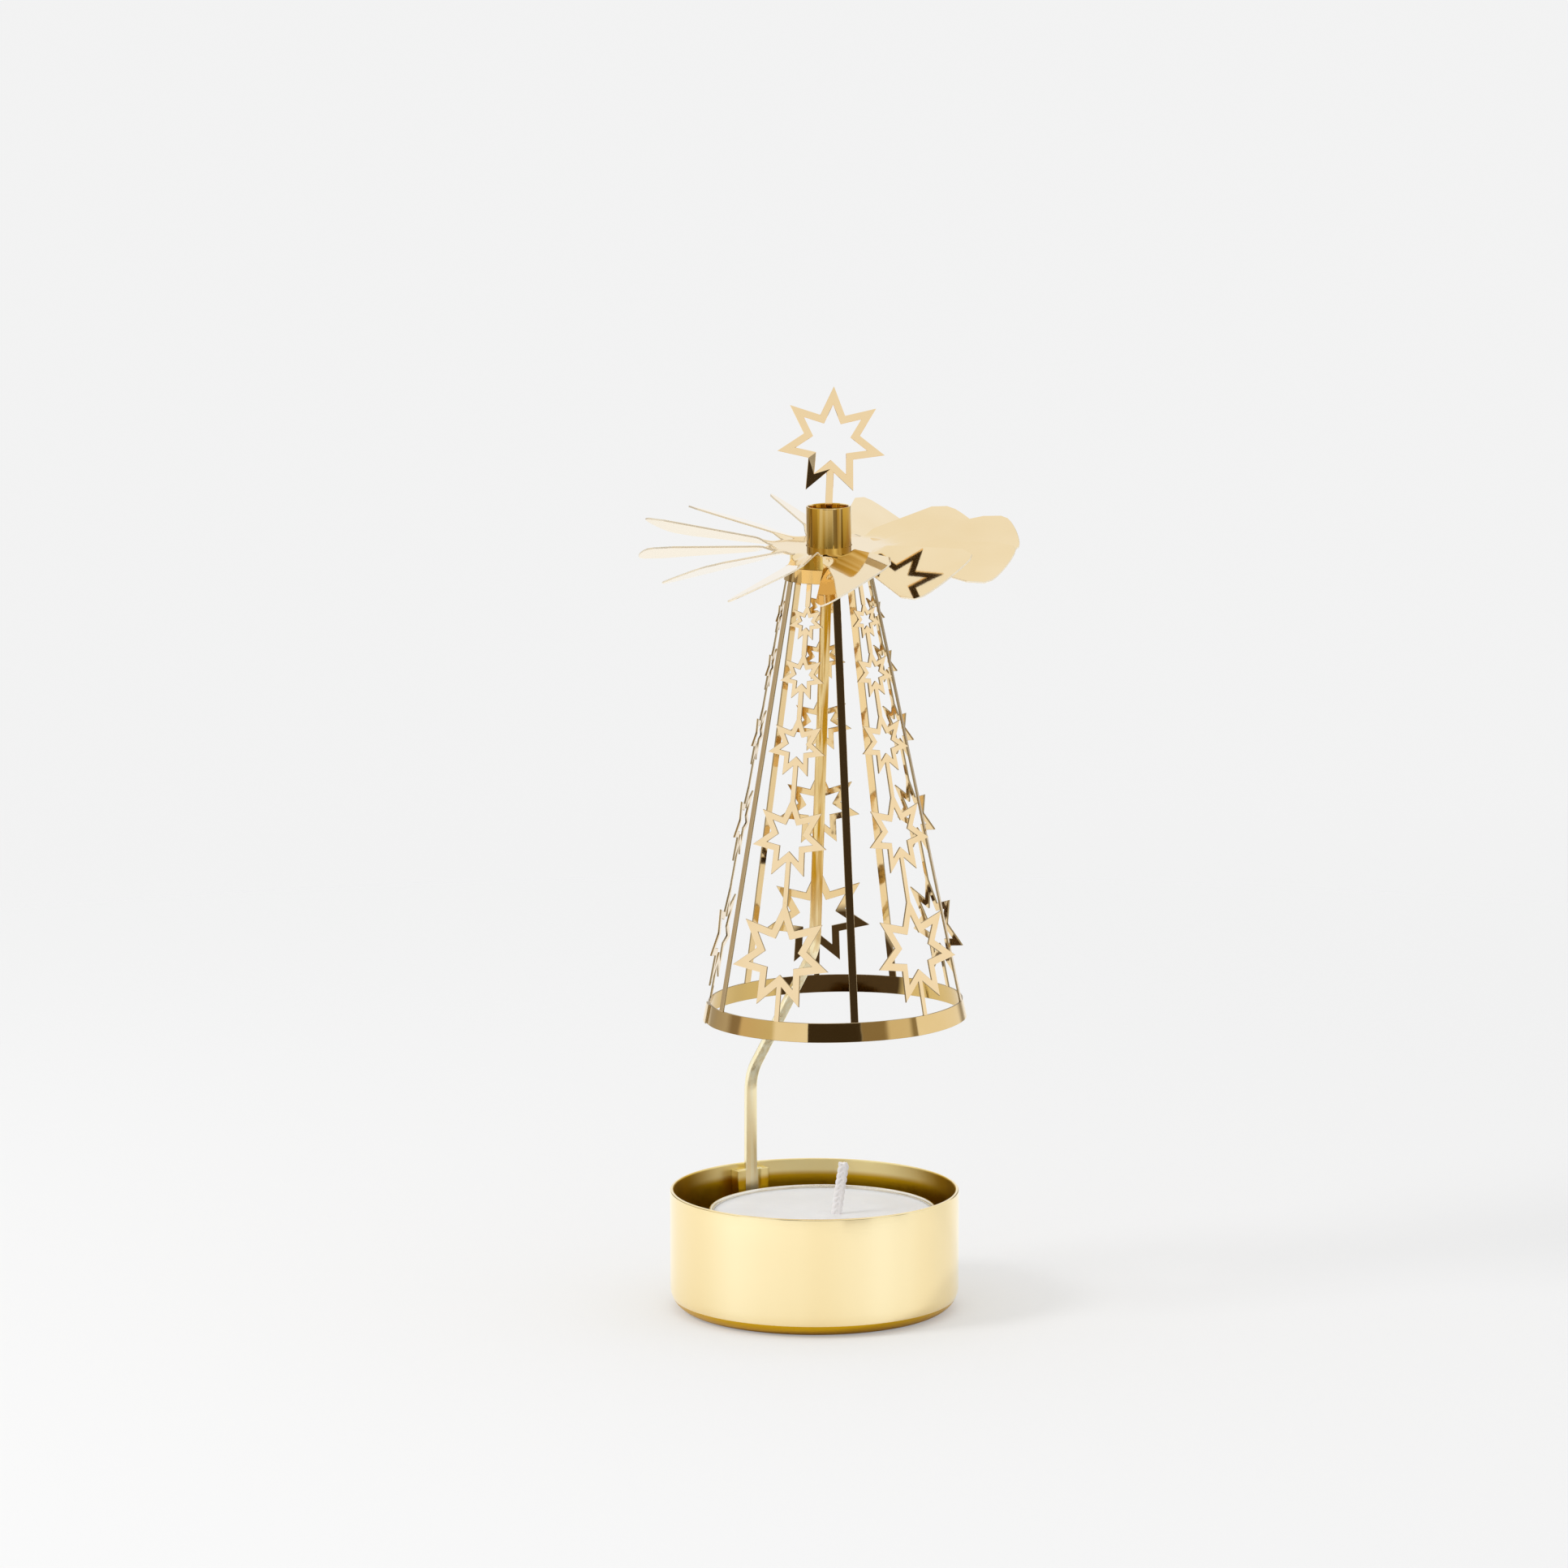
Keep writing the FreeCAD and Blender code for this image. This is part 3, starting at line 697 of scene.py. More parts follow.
def finished(work: bpy.types.Object, bevel: float, steps: int) -> Mesh:
    """Bevels an object's sharp edges by millimetres in a few steps, bakes its modifiers and removes it.

    Args:
        work: the object.
        bevel: the width of the bevel, in millimetres, or zero.
        steps: how many facets it has.

    Returns:
        The plain mesh.
    """
    if bevel:
        edge = work.modifiers.new("edge", "BEVEL")
        edge.width = bevel * MM
        edge.segments = steps
        edge.limit_method = "ANGLE"
        edge.angle_limit = math.radians(SHARP_ANGLE)
        edge.use_clamp_overlap = True
    bpy.context.view_layer.update()
    mesh = bpy.data.meshes.new_from_object(work.evaluated_get(bpy.context.evaluated_depsgraph_get()))
    work.modifiers.clear()
    bpy.data.objects.remove(work)
    return mesh


def edged_copy(node: str, bevel: float) -> Mesh:
    """A copy of a frame node's mesh with its flat faces joined and its sharp edges rounded.

    Args:
        node: the node's name.
        bevel: the width of the rounding, in millimetres.

    Returns:
        The new mesh.
    """
    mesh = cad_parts[node].data.copy()
    clean(mesh, flat=FLAT_ANGLE)
    return finished(placed(node + "_work", mesh), bevel, 2)


class Tree(Nodes):
    """A Geometry Nodes tree with named inputs, and short ways to place and bake its parts."""

    def __init__(self, name: str, sizes: dict[str, float]) -> None:
        """Starts a tree whose inputs are these sizes, in millimetres, besides the geometry.

        Args:
            name: its name.
            sizes: the inputs besides the geometry, in millimetres.
        """
        super().__init__(bpy.data.node_groups.new(name, "GeometryNodeTree"))
        sockets = self.graph.interface
        for way in ("INPUT", "OUTPUT"):
            sockets.new_socket("Geometry", in_out=way, socket_type="NodeSocketGeometry")
        for key, value in sizes.items():
            sockets.new_socket(key, in_out="INPUT", socket_type="NodeSocketFloat").default_value = value * MM
        self.start = self.add("NodeGroupInput")

    def size(self, name: str) -> Socket:
        """One of the tree's named inputs."""
        return self.start.outputs[name]

    def join(self, parts: Sequence[Socket]) -> Socket:
        """Joins several geometries.

        Args:
            parts: the geometries.

        Returns:
            All of them as one.
        """
        node = self.add("GeometryNodeJoinGeometry")
        for part in parts:
            self.graph.links.new(part, node.inputs[0])
        return node.outputs[0]

    def turned(self, vector: Socket, axis: str, angle: Number, centre: Triple = (0.0, 0.0, 0.0)) -> Socket:
        """A vector turned about an axis through a centre."""
        inputs = {"Vector": vector, "Center": centre, "Angle": angle}
        return self.get("ShaderNodeVectorRotate", inputs, rotation_type=axis)

    def shifted(self, part: Socket, place: Arrow) -> Socket:
        """A part shifted by metres."""
        return self.get("GeometryNodeTransform", {"Geometry": part, "Translation": place})

    def moved(self, part: Socket, place: Matrix) -> Socket:
        """A part moved by a matrix in metres."""
        return self.get("GeometryNodeTransform", {"Geometry": part, "Translation": place.to_translation(),
                                                  "Rotation": place.to_euler()})

    def around(self, part: Socket, count: int, start: float) -> Socket:
        """Repeats a part about the upright axis, from a start angle in degrees.

        Args:
            part: the part.
            count: how many there are.
            start: the first one's angle.

        Returns:
            The instances.
        """
        step = self.sum("MULTIPLY", self.get("GeometryNodeInputIndex"), 2 * math.pi / count)
        turn = self.vector(z=self.sum("ADD", step, math.radians(start)))
        points = self.get("GeometryNodePoints", {"Count": count})
        inputs = {"Points": points, "Instance": part, "Rotation": turn}
        return self.get("GeometryNodeInstanceOnPoints", inputs)

    def slab(self, width: Number, low: Number, high: Number, inset: float = 0.0, rows: int = 2) -> Socket:
        """A slab of the skirt's sheet along Y.

        Args:
            width: its width in metres.
            low: where it starts, in metres.
            high: where it ends, in metres.
            inset: how much thinner than the sheet it is on either side, in millimetres.
            rows: how many rows of corners it has along its length.

        Returns:
            The slab, standing on XY.
        """
        size = self.vector(width, self.sum("SUBTRACT", high, low), (CONE.sheet - 2 * inset) * MM)
        box = self.get("GeometryNodeMeshCube", {"Size": size, "Vertices Y": rows})
        middle = self.sum("DIVIDE", self.sum("ADD", low, high), 2.0)
        return self.shifted(box, self.vector(y=middle, z=CONE.sheet * MM / 2))

    def welded(self, part: Socket, gap: float) -> Socket:
        """A part whose corners nearer than a gap in millimetres are one."""
        return self.get("GeometryNodeMergeByDistance", {"Geometry": part, "Distance": gap * MM})

    def output(self, part: Socket) -> None:
        """Ends the tree."""
        self.add("NodeGroupOutput", {0: part})

    def finish(self, part: Socket, material: Material) -> None:
        """Ends the tree in real faces with their finish."""
        real = self.get("GeometryNodeRealizeInstances", {"Geometry": part})
        self.output(self.get("GeometryNodeSetMaterial", {"Geometry": real, "Material": material}))

    def bake(self, bevel: float, seed: Optional[Mesh] = None, thickness: float = 0.0) -> Mesh:
        """Runs the tree on a carrier object and returns the plain mesh.

        Args:
            bevel: rounding of sharp edges in millimetres.
            seed: the mesh that the tree starts from, if any.
            thickness: the wall that an open sheet gets, in millimetres.

        Returns:
            The baked mesh in metres.
        """
        carrier = placed("carrier", seed or bpy.data.meshes.new("seed"))
        carrier.modifiers.new("nodes", "NODES").node_group = self.graph
        if thickness:
            wall = carrier.modifiers.new("wall", "SOLIDIFY")
            wall.thickness = thickness * MM
            wall.offset = 0
            wall.use_even_offset = True
        return finished(carrier, bevel, 1)


@dataclass(frozen=True)
class StarCut:
    """The open star that the strings and the finial share, cut from the skirt's sheet.

    Attributes:
        points: how many points it has.
        valley_share: the radius of its inner corners, as a share of the outer one.
        link_root: how far a link reaches into its frame, as a share of the frame's width.
        link_inset: how much thinner a link is on either side, in millimetres.
        weld: the gap that is closed between its two sides, in millimetres.
    """

    points: int = 7
    valley_share: float = 0.52
    link_root: float = 0.6
    link_inset: float = 0.01
    weld: float = 0.001

    def tree(self) -> Tree:
        """One star on XY, with a frame of even width and one point towards +Y.

        Returns:
            The tree.
        """
        tree = Tree("star_frame", {"Radius": 9.0, "Valley": 5.0, "Frame": 1.2})
        radius, valley, rail = (tree.size(name) for name in ("Radius", "Valley", "Frame"))
        half = math.pi / self.points
        across = tree.sum("MULTIPLY", valley, math.sin(half))
        along = tree.sum("SUBTRACT", radius, tree.sum("MULTIPLY", valley, math.cos(half)))
        tip = tree.sum("ARCTAN2", across, along)
        root = tree.sum("ADD", tip, half)
        hole, hole_valley = (tree.sum("SUBTRACT", reach, tree.sum("DIVIDE", rail, tree.sum("SINE", angle)))
                             for reach, angle in ((radius, tip), (valley, root)))
        outlines = [tree.get("GeometryNodeCurveStar", {"Points": self.points, "Inner Radius": inner,
                                                       "Outer Radius": outer})
                    for inner, outer in ((valley, radius), (hole_valley, hole))]
        filled = tree.get("GeometryNodeFillCurve", {"Curve": tree.join(outlines)})
        flat = tree.moved(filled, Matrix.Rotation(math.pi / 2, 4, "Z"))
        front = tree.get("GeometryNodeExtrudeMesh", {"Mesh": flat, "Offset Scale": CONE.sheet * MM,
                                                     "Individual": False})
        back = tree.get("GeometryNodeFlipFaces", {"Mesh": flat})
        tree.output(tree.welded(tree.join([front, back]), self.weld))
        return tree

    def on_link(self, tree: Tree, star: Tree, sizes: Sequence[Number], centre: Number,
                low: Number) -> list[Socket]:
        """Puts one star and the link below it on the Y axis.

        Args:
            tree: the tree that gets them.
            star: the star's own tree.
            sizes: the star's radius, its frame's width and the link's width, in metres.
            centre: where the star's middle is, in metres.
            low: where the link starts, in metres.

        Returns:
            The star and the link.
        """
        radius, rail, width = sizes
        valley = tree.sum("MULTIPLY", radius, self.valley_share)
        inputs = {"Radius": radius, "Valley": valley, "Frame": rail}
        body = tree.get("GeometryNodeGroup", inputs, node_tree=star.graph)
        root = tree.sum("MULTIPLY", rail, self.link_root)
        high = tree.sum("ADD", tree.sum("SUBTRACT", centre, valley), root)
        return [tree.shifted(body, tree.vector(y=centre)), tree.slab(width, low, high, self.link_inset)]


STAR = StarCut()


@dataclass
class CandleCup:
    """The drawn cup and the clip on its wall."""

    finishes: Finishes
    radius: float = 24.45
    height: float = 20.5
    wall: float = 0.6
    corner: float = 3.85
    rim: float = 0.24
    dish: float = 0.12
    foot_ring: float = 17.5
    foot_step: float = 0.6
    side_shares: Point = (0.33, 0.66)
    segments: int = 144
    clip_edge: float = 0.09

    def profile(self) -> list[Point]:
        """The section from the middle of the underside, over the rim, to the middle of the floor.

        Returns:
            Its corners (radius, height).
        """
        centre = (self.radius - self.corner, self.corner)
        ring = self.foot_ring + self.foot_step
        rim_high = self.height - self.rim
        floor_high = self.wall + self.dish
        under = [(0.0, self.dish), (self.foot_ring, self.dish), (ring, 0.0)]
        side = [(self.radius, self.corner + (self.height - self.corner) * share)
                for share in self.side_shares]
        rim = (bow((self.radius - self.rim, rim_high), self.rim, 0, 90, 5)
               + bow((self.radius - self.wall + self.rim, rim_high), self.rim, 90, 180, 5))
        inside = bow(centre, self.corner - self.wall, 0, -90, 12)
        floor = [(ring, self.wall), (self.foot_ring, floor_high), (0.0, floor_high)]
        return under + bow(centre, self.corner, -90, 0, 14) + side + rim + inside + floor

    def build(self) -> None:
        """Makes the cup and dresses the clip."""
        for name, mesh, node in (("cup_shell", lathe(self.profile(), self.segments), "candle_cup"),
                                 ("socket_clip", edged_copy("arm_socket", self.clip_edge), "arm_socket")):
            piece_from(name, mesh, Body.STAND, self.finishes.cup, [node])


@dataclass
class SupportArm:
    """The bent strip with its ground point."""

    finishes: Finishes
    edge: float = 0.2

    def build(self) -> None:
        """Rounds the strip's edges, as tumbling leaves them."""
        strip = edged_copy("support_arm", self.edge)
        piece_from("bent_arm", strip, Body.STAND, self.finishes.arm, ["support_arm"])


@dataclass
class Tealight:
    """The tealight: a fluted foil case, wax with a meniscus, and a braided wick in its sustainer.

    Attributes:
        fit: the gap between the wax and the case's floor and bead.
        shoulder: how far under its surface the wax meets the case and the bead.
        sink, climb: how far the surface sinks in the middle and climbs at the case.
        skin: how deep under the surface the ripples reach.
        ripples: depth, waves round, waves outwards and phase of each ripple.
        wax_heart: the innermost row of the wax, as a share of its radius.
        heart_sink: how far the surface lies under its full height at the very middle.
        wick_climb, wick_reach: how far the wax climbs at the wick, and how far from it.
    """

    finishes: Finishes
    x: float = 1.45
    low: float = 0.63
    radius: float = 19.35
    height: float = 16.4
    wall: float = 0.25
    bead: float = 0.42
    corner: float = 1.6
    recess: float = 0.85
    flutes: int = 44
    flute_steps: int = 6
    flute_depth: float = 0.07
    side_shares: tuple[float, ...] = (0.05, 0.3, 0.6, 0.9)
    fit: float = 0.02
    shoulder: Point = (1.2, 0.3)
    sink: float = 0.12
    climb: float = 0.3
    skin: float = 0.25
    ripples: tuple[tuple[float, ...], ...] = ((0.035, 3, 9, 0.0), (0.025, 2, -14, 1.3))
    wax_segments: int = 96
    wax_rows: int = 26
    wax_heart: float = 0.04
    heart_sink: float = 0.1
    wick_climb: float = 0.25
    wick_reach: float = 1.6
    wick_width: float = 1.9
    wick_depth: float = 1.04
    wick_length: float = 23.9
    wick_lean: float = 8.5
    wick_rings: int = 110
    sustainer: float = 0.3
    braid_pitch: float = 3.2
    strands: int = 3
    strand_radius: float = 0.48
    strand_sides: int = 9

    @property
    def high(self) -> float:
        """The height of the case's upper edge."""
        return self.low + self.height

    @property
    def shell_radius(self) -> float:
        """The case's outer radius below its bead."""
        return self.radius - self.bead

    @property
    def side(self) -> Point:
        """The lower and upper end of the case's straight side."""
        return self.low + self.corner, self.high - 2 * self.bead

    @property
    def wax_high(self) -> float:
        """The height of the wax."""
        return self.high - self.recess

    def case_profile(self) -> list[Point]:
        """The case's section: underside, side, rolled bead and inside.

        Returns:
            Its corners (radius, height).
        """
        side_low, side_high = self.side
        centre = (self.shell_radius - self.corner, side_low)
        sides = [side_low + (side_high - side_low) * share for share in self.side_shares]
        bead = bow((self.shell_radius, self.high - self.bead), self.bead, -80, 190, 12)
        return ([(0.0, self.low)] + bow(centre, self.corner, -90, 0, 6)
                + [(self.shell_radius, height) for height in sides] + bead
                + [(self.shell_radius - self.wall, height) for height in reversed(sides)]
                + bow(centre, self.corner - self.wall, 0, -90, 6) + [(0.0, self.low + self.wall)])

    def fluted(self, radius: float, height: float, turn: float) -> Point:
        """Presses shallow flutes into the straight side of the case.

        Args:
            radius: the corner's distance from the axis.
            height: the corner's height.
            turn: its angle about the axis, in radians.

        Returns:
            The new radius and height.
        """
        side_low, side_high = self.side
        if not side_low < height < side_high or radius > self.shell_radius:
            return radius, height
        fade = math.sin(math.pi * (height - side_low) / (side_high - side_low))
        return radius - self.flute_depth * fade * (0.5 + 0.5 * math.cos(self.flutes * turn)), height

    def wax_profile(self) -> list[Point]:
        """The wax's section: it climbs close to the case and sinks broadly towards the middle.

        Returns:
            Its corners (radius, height).
        """
        edge = self.shell_radius - self.wall - self.flute_depth
        inner = self.shell_radius - self.bead - self.fit
        base = self.low + self.wall + self.fit
        corner = self.corner - self.wall
        side, lip = (self.wax_high - depth for depth in self.shoulder)
        top = [(inner * share, self.wax_high - self.sink * (1 - share ** 3) + self.climb * share ** 24)
               for share in np.linspace(1.0, self.wax_heart, self.wax_rows)]
        return ([(0.0, base)] + bow((edge - corner, base + corner), corner, -90, 0, 5)
                + [(edge, side), (inner, lip)] + top + [(0.0, self.wax_high - self.heart_sink)])

    def rippled(self, radius: float, height: float, turn: float) -> Point:
        """Lets the cast surface wander a little and climb at the wick.

        Args:
            radius: the corner's distance from the axis.
            height: the corner's height.
            turn: its angle about the axis, in radians.

        Returns:
            The new radius and height.
        """
        if height < self.wax_high - self.skin:
            return radius, height
        share = radius / self.shell_radius
        ripple = sum(depth * math.sin(across * turn + out * share + phase)
                     for depth, across, out, phase in self.ripples)
        wick = self.wick_climb * math.exp(-(radius / self.wick_reach) ** 2)
        return radius, height + ripple * share * (1 - share ** 12) + wick

    def braid(self) -> Mesh:
        """Three strands plaited into a flat wick, along the Z axis from zero.

        Returns:
            The mesh.
        """
        tree = Tree("wick_braid", {"Length": self.wick_length, "Pitch": self.braid_pitch,
                                   "Strand": self.strand_radius})
        strand = tree.size("Strand")
        sway, nod = (tree.sum("SUBTRACT", size * MM / 2, strand)
                     for size in (self.wick_width, self.wick_depth))
        parts = []
        for place in range(self.strands):
            line = tree.get("GeometryNodeCurvePrimitiveLine", {"End": tree.vector(z=tree.size("Length"))})
            path = tree.get("GeometryNodeResampleCurve", {"Curve": line, "Count": self.wick_rings})
            along = tree.get("GeometryNodeSplineParameter", out="Length")
            turns = tree.sum("MULTIPLY", tree.sum("DIVIDE", along, tree.size("Pitch")), 2 * math.pi)
            phase = tree.sum("ADD", turns, 2 * math.pi * place / self.strands)
            x = tree.sum("MULTIPLY", tree.sum("SINE", phase), sway)
            y = tree.sum("MULTIPLY", tree.sum("SINE", tree.sum("MULTIPLY", phase, 2.0)), nod)
            bent = tree.get("GeometryNodeSetPosition", {"Geometry": path, "Offset": tree.vector(x, y)})
            ring = tree.get("GeometryNodeCurvePrimitiveCircle", {"Resolution": self.strand_sides,
                                                                 "Radius": strand})
            parts.append(tree.get("GeometryNodeCurveToMesh", {"Curve": bent, "Profile Curve": ring,
                                                              "Fill Caps": True}))
        tree.finish(tree.join(parts), self.finishes.wick)
        return tree.bake(0.0)

    def build(self) -> None:
        """Makes the case, the wax and the wick."""
        case = lathe(self.case_profile(), self.flutes * self.flute_steps, self.x, self.fluted)
        piece_from("foil_case", case, Body.TEALIGHT, self.finishes.foil, ["tealight_case"])
        wax = lathe(self.wax_profile(), self.wax_segments, self.x, self.rippled)
        piece_from("cast_wax", wax, Body.TEALIGHT, self.finishes.wax, ["tealight_wax"], crease=50.0)
        braid = self.braid()
        foot = Matrix.Translation((self.x * MM, 0, (self.low + self.wall + self.sustainer) * MM))
        braid.transform(foot @ Matrix.Rotation(math.radians(self.wick_lean), 4, "Y"))
        clean(braid)
        piece_from("braided_wick", braid, Body.TEALIGHT, self.finishes.wick, ["tealight_wick"],
                   crease=60.0)


@dataclass
class Hub:
    """The sleeve through the fan and the drawn collar that carries the skirt."""

    finishes: Finishes
    radius: float = 3.75
    wall: float = 0.4
    high: float = 137.1
    lip: float = 0.2
    bend: float = 0.3
    chamfer: float = 0.3
    flare_radius: float = 4.8
    collar_wall: float = 0.35
    collar_reach: float = 2.0
    shoulder: float = 0.6
    clearance: float = 0.05
    bore_gap: float = 0.03
    sleeve_segments: int = 72
    collar_segments: int = 96

    def sleeve_profile(self, low: float, flare_high: float) -> list[Point]:
        """The sleeve's section with its rounded mouth and turned-out foot.

        Args:
            low: the flare's underside.
            flare_high: the flare's upper side.

        Returns:
            Its corners (radius, height).
        """
        inner = self.radius - self.wall
        foot = bow((self.radius + self.bend, flare_high + self.bend), self.bend, 180, 270, 4)
        tip = bow((self.flare_radius - self.wall / 2, (low + flare_high) / 2), self.wall / 2, 90, -90, 6)
        mouth = bow((self.radius - self.lip, self.high - self.lip), self.lip, 180, 0, 10)
        return tip + [(inner + self.chamfer, low), (inner, low + self.chamfer)] + mouth + foot

    def collar_profile(self, low: float, high: float) -> list[Point]:
        """The collar's section: a rounded shoulder and a plain skirt.

        Args:
            low: its lower edge.
            high: its upper side.

        Returns:
            Its corners (radius, height).
        """
        outer = CONE.band_radius - CONE.sheet - self.clearance
        bore = self.radius + self.bore_gap
        centre = (outer - self.shoulder, high - self.shoulder)
        return (bow(centre, self.shoulder, 0, 90, 6) + [(bore, high), (bore, high - self.collar_wall)]
                + bow(centre, self.shoulder - self.collar_wall, 90, 0, 4)
                + [(outer - self.collar_wall, low), (outer, low)])

    def build(self) -> None:
        """Makes the sleeve and the collar, and finishes the two pieces of the frame that stay in sight."""
        unhang = AXIS.hang().inverted()
        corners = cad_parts["skirt_collar"].data.vertices
        collar_high = max((unhang @ corner.co).z / MM for corner in corners)
        flare_high = collar_high - self.collar_wall - self.clearance
        sleeve = lathe(self.sleeve_profile(flare_high - self.wall, flare_high), self.sleeve_segments)
        piece_from("hub_sleeve", sleeve, Body.ROTOR, self.finishes.hub, ["hub_cap"])
        collar_low = CONE.band_high - self.collar_reach
        collar = lathe(self.collar_profile(collar_low, collar_high), self.collar_segments)
        piece_from("drawn_collar", collar, Body.ROTOR, self.finishes.hub, ["skirt_collar"])
        # The plug in the sleeve takes the near-black painted shade, and the wick sustainer takes the foil.
        for node, finish in (("bearing_cup", self.finishes.bearing_shade), ("wick_sustainer", self.finishes.foil)):
            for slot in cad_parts[node].material_slots:
                slot.material = finish


@dataclass
class FanWheel:
    """The fan: one sheet, cut into sectors and twisted at the necks.

    Attributes:
        cut_angle: the heading of the first cut, in degrees.
        tilt: how much the whole fan leans, in degrees.
        pitches: how far each vane is twisted, in degrees.
        rises: how far each vane's end is bent up, in degrees.
        lift: how far outwards from its root a vane takes to rise.
        row_spread: above one, the rows of a vane lie closer towards its tip.
        weld: the gap that is closed between neighbouring sectors.
    """

    finishes: Finishes
    radius: float = 31.86
    height: float = 130.35
    hub_radius: float = 9.5
    neck_radius: float = 12.0
    bore: float = 3.83
    gap: float = 0.25
    corner: float = 3.5
    cut_angle: float = 23.0
    tilt: float = 2.0
    pitches: tuple[float, ...] = (22, 31, 34, 18, 20, 17, 20, 26, 30, 27, 17, 15)
    rises: tuple[float, ...] = (-1, -2, 0, 4, 5, 0, -3, -4, -3, -3, -4, 2.5)
    lift: float = 0.5
    rows_in_hub: int = 5
    rows_in_vane: int = 30
    row_spread: float = 1.3
    columns: int = 12
    edge: float = 0.05
    weld: float = 0.02
    last_weld: float = 0.0001

    @property
    def root(self) -> float:
        """Where a vane leaves the hub's flat side."""
        return self.hub_radius * math.cos(math.pi / len(self.pitches))

    def blank(self) -> Mesh:
        """One flat sector along +X, from the bore to its rounded outer corners.

        Returns:
            The open sheet.
        """
        half = math.pi / len(self.pitches)
        tip_half = self.radius * math.sin(half) - self.gap / 2
        shares = np.linspace(-1, 1, self.columns + 1)
        inner = [(self.bore * math.cos(v * half), self.bore * math.sin(v * half)) for v in shares]
        outer = [(self.root, v * self.root * math.tan(half)) for v in shares]
        spots = []
        for share in np.linspace(0, 1, self.rows_in_hub + 1):
            spots += [(a[0] + (b[0] - a[0]) * share, a[1] + (b[1] - a[1]) * share, 0.0)
                      for a, b in zip(inner, outer)]
        for share in 1 - np.linspace(1, 0, self.rows_in_vane + 1)[1:] ** self.row_spread:
            for v in shares:
                over = max(0.0, (abs(v) - 1) * tip_half + self.corner)
                reach = math.sqrt(self.radius ** 2 - (v * tip_half) ** 2)
                reach += math.sqrt(self.corner ** 2 - over ** 2) - self.corner
                x = self.root + (reach - self.root) * share
                spots.append((x, v * (x * math.tan(half) - self.gap / 2), 0.0))
        width = self.columns + 1
        faces = [(low, low + width, low + width + 1, low + 1)
                 for low in range(len(spots) - width) if low % width < self.columns]
        return make_mesh(spots, faces, closed=False)

    def layers(self) -> dict[str, Sequence[float]]:
        """Each vane's heading, pitch and rise in degrees.

        Returns:
            The values by the layer's name.
        """
        count = len(self.pitches)
        headings = [self.cut_angle + (place + 0.5) * 360 / count for place in range(count)]
        return {"heading": headings, "pitch": self.pitches, "rise": self.rises}

    def seed(self) -> Mesh:
        """Twelve points at the axis that carry the layers.

        Returns:
            The mesh of points.
        """
        mesh = make_mesh([(0.0, 0.0, 0.0)] * len(self.pitches), [], closed=False)
        for name, values in self.layers().items():
            layer = mesh.attributes.new(name, "FLOAT", "POINT")
            layer.data.foreach_set("value", [math.radians(value) for value in values])
        return mesh

    def tree(self, blank: bpy.types.Object) -> Tree:
        """Copies the sector to each point, twists its neck, lifts it and turns it to its heading.

        Args:
            blank: the object that holds the flat sector.

        Returns:
            The tree.
        """
        tree = Tree("fan_vanes", {"Root": self.root, "Neck": self.neck_radius, "Lift": self.lift})
        sector = tree.get("GeometryNodeObjectInfo", {"Object": blank}, "Geometry")
        copies = tree.get("GeometryNodeInstanceOnPoints", {"Points": tree.size("Geometry"),
                                                           "Instance": sector})
        real = tree.get("GeometryNodeRealizeInstances", {"Geometry": copies})
        heading, pitch, rise = (tree.get("GeometryNodeInputNamedAttribute", {"Name": name}, data_type="FLOAT")
                                for name in self.layers())
        place = tree.get("GeometryNodeInputPosition")
        reach = tree.get("ShaderNodeSeparateXYZ", {0: place}, "X")
        root = tree.size("Root")
        twist = tree.ramp(reach, root, tree.size("Neck"), soft=True)
        lift = tree.ramp(reach, root, tree.sum("ADD", root, tree.size("Lift")), (0.0, -1.0))
        spot = tree.turned(place, "X_AXIS", tree.sum("MULTIPLY", pitch, twist))
        spot = tree.turned(spot, "Y_AXIS", tree.sum("MULTIPLY", rise, lift), (self.root * MM, 0.0, 0.0))
        spot = tree.turned(spot, "Z_AXIS", heading)
        shaped = tree.get("GeometryNodeSetPosition", {"Geometry": real, "Position": spot})
        tree.finish(tree.welded(shaped, self.weld), self.finishes.fan)
        return tree

    def build(self) -> None:
        """Makes the fan and sets it at its height with its small tilt."""
        blank = placed("sector_blank", self.blank())
        mesh = self.tree(blank).bake(self.edge, self.seed(), CONE.sheet)
        bpy.data.objects.remove(blank)
        for layer in self.layers():
            if layer in mesh.attributes:
                mesh.attributes.remove(mesh.attributes[layer])
        tilt = Matrix.Rotation(math.radians(self.tilt), 4, "X")
        mesh.transform(Matrix.Translation((0, 0, self.height * MM)) @ tilt)
        clean(mesh, self.last_weld)
        piece_from("fan_sheet", mesh, Body.ROTOR, self.finishes.fan, ["fan_wheel"])


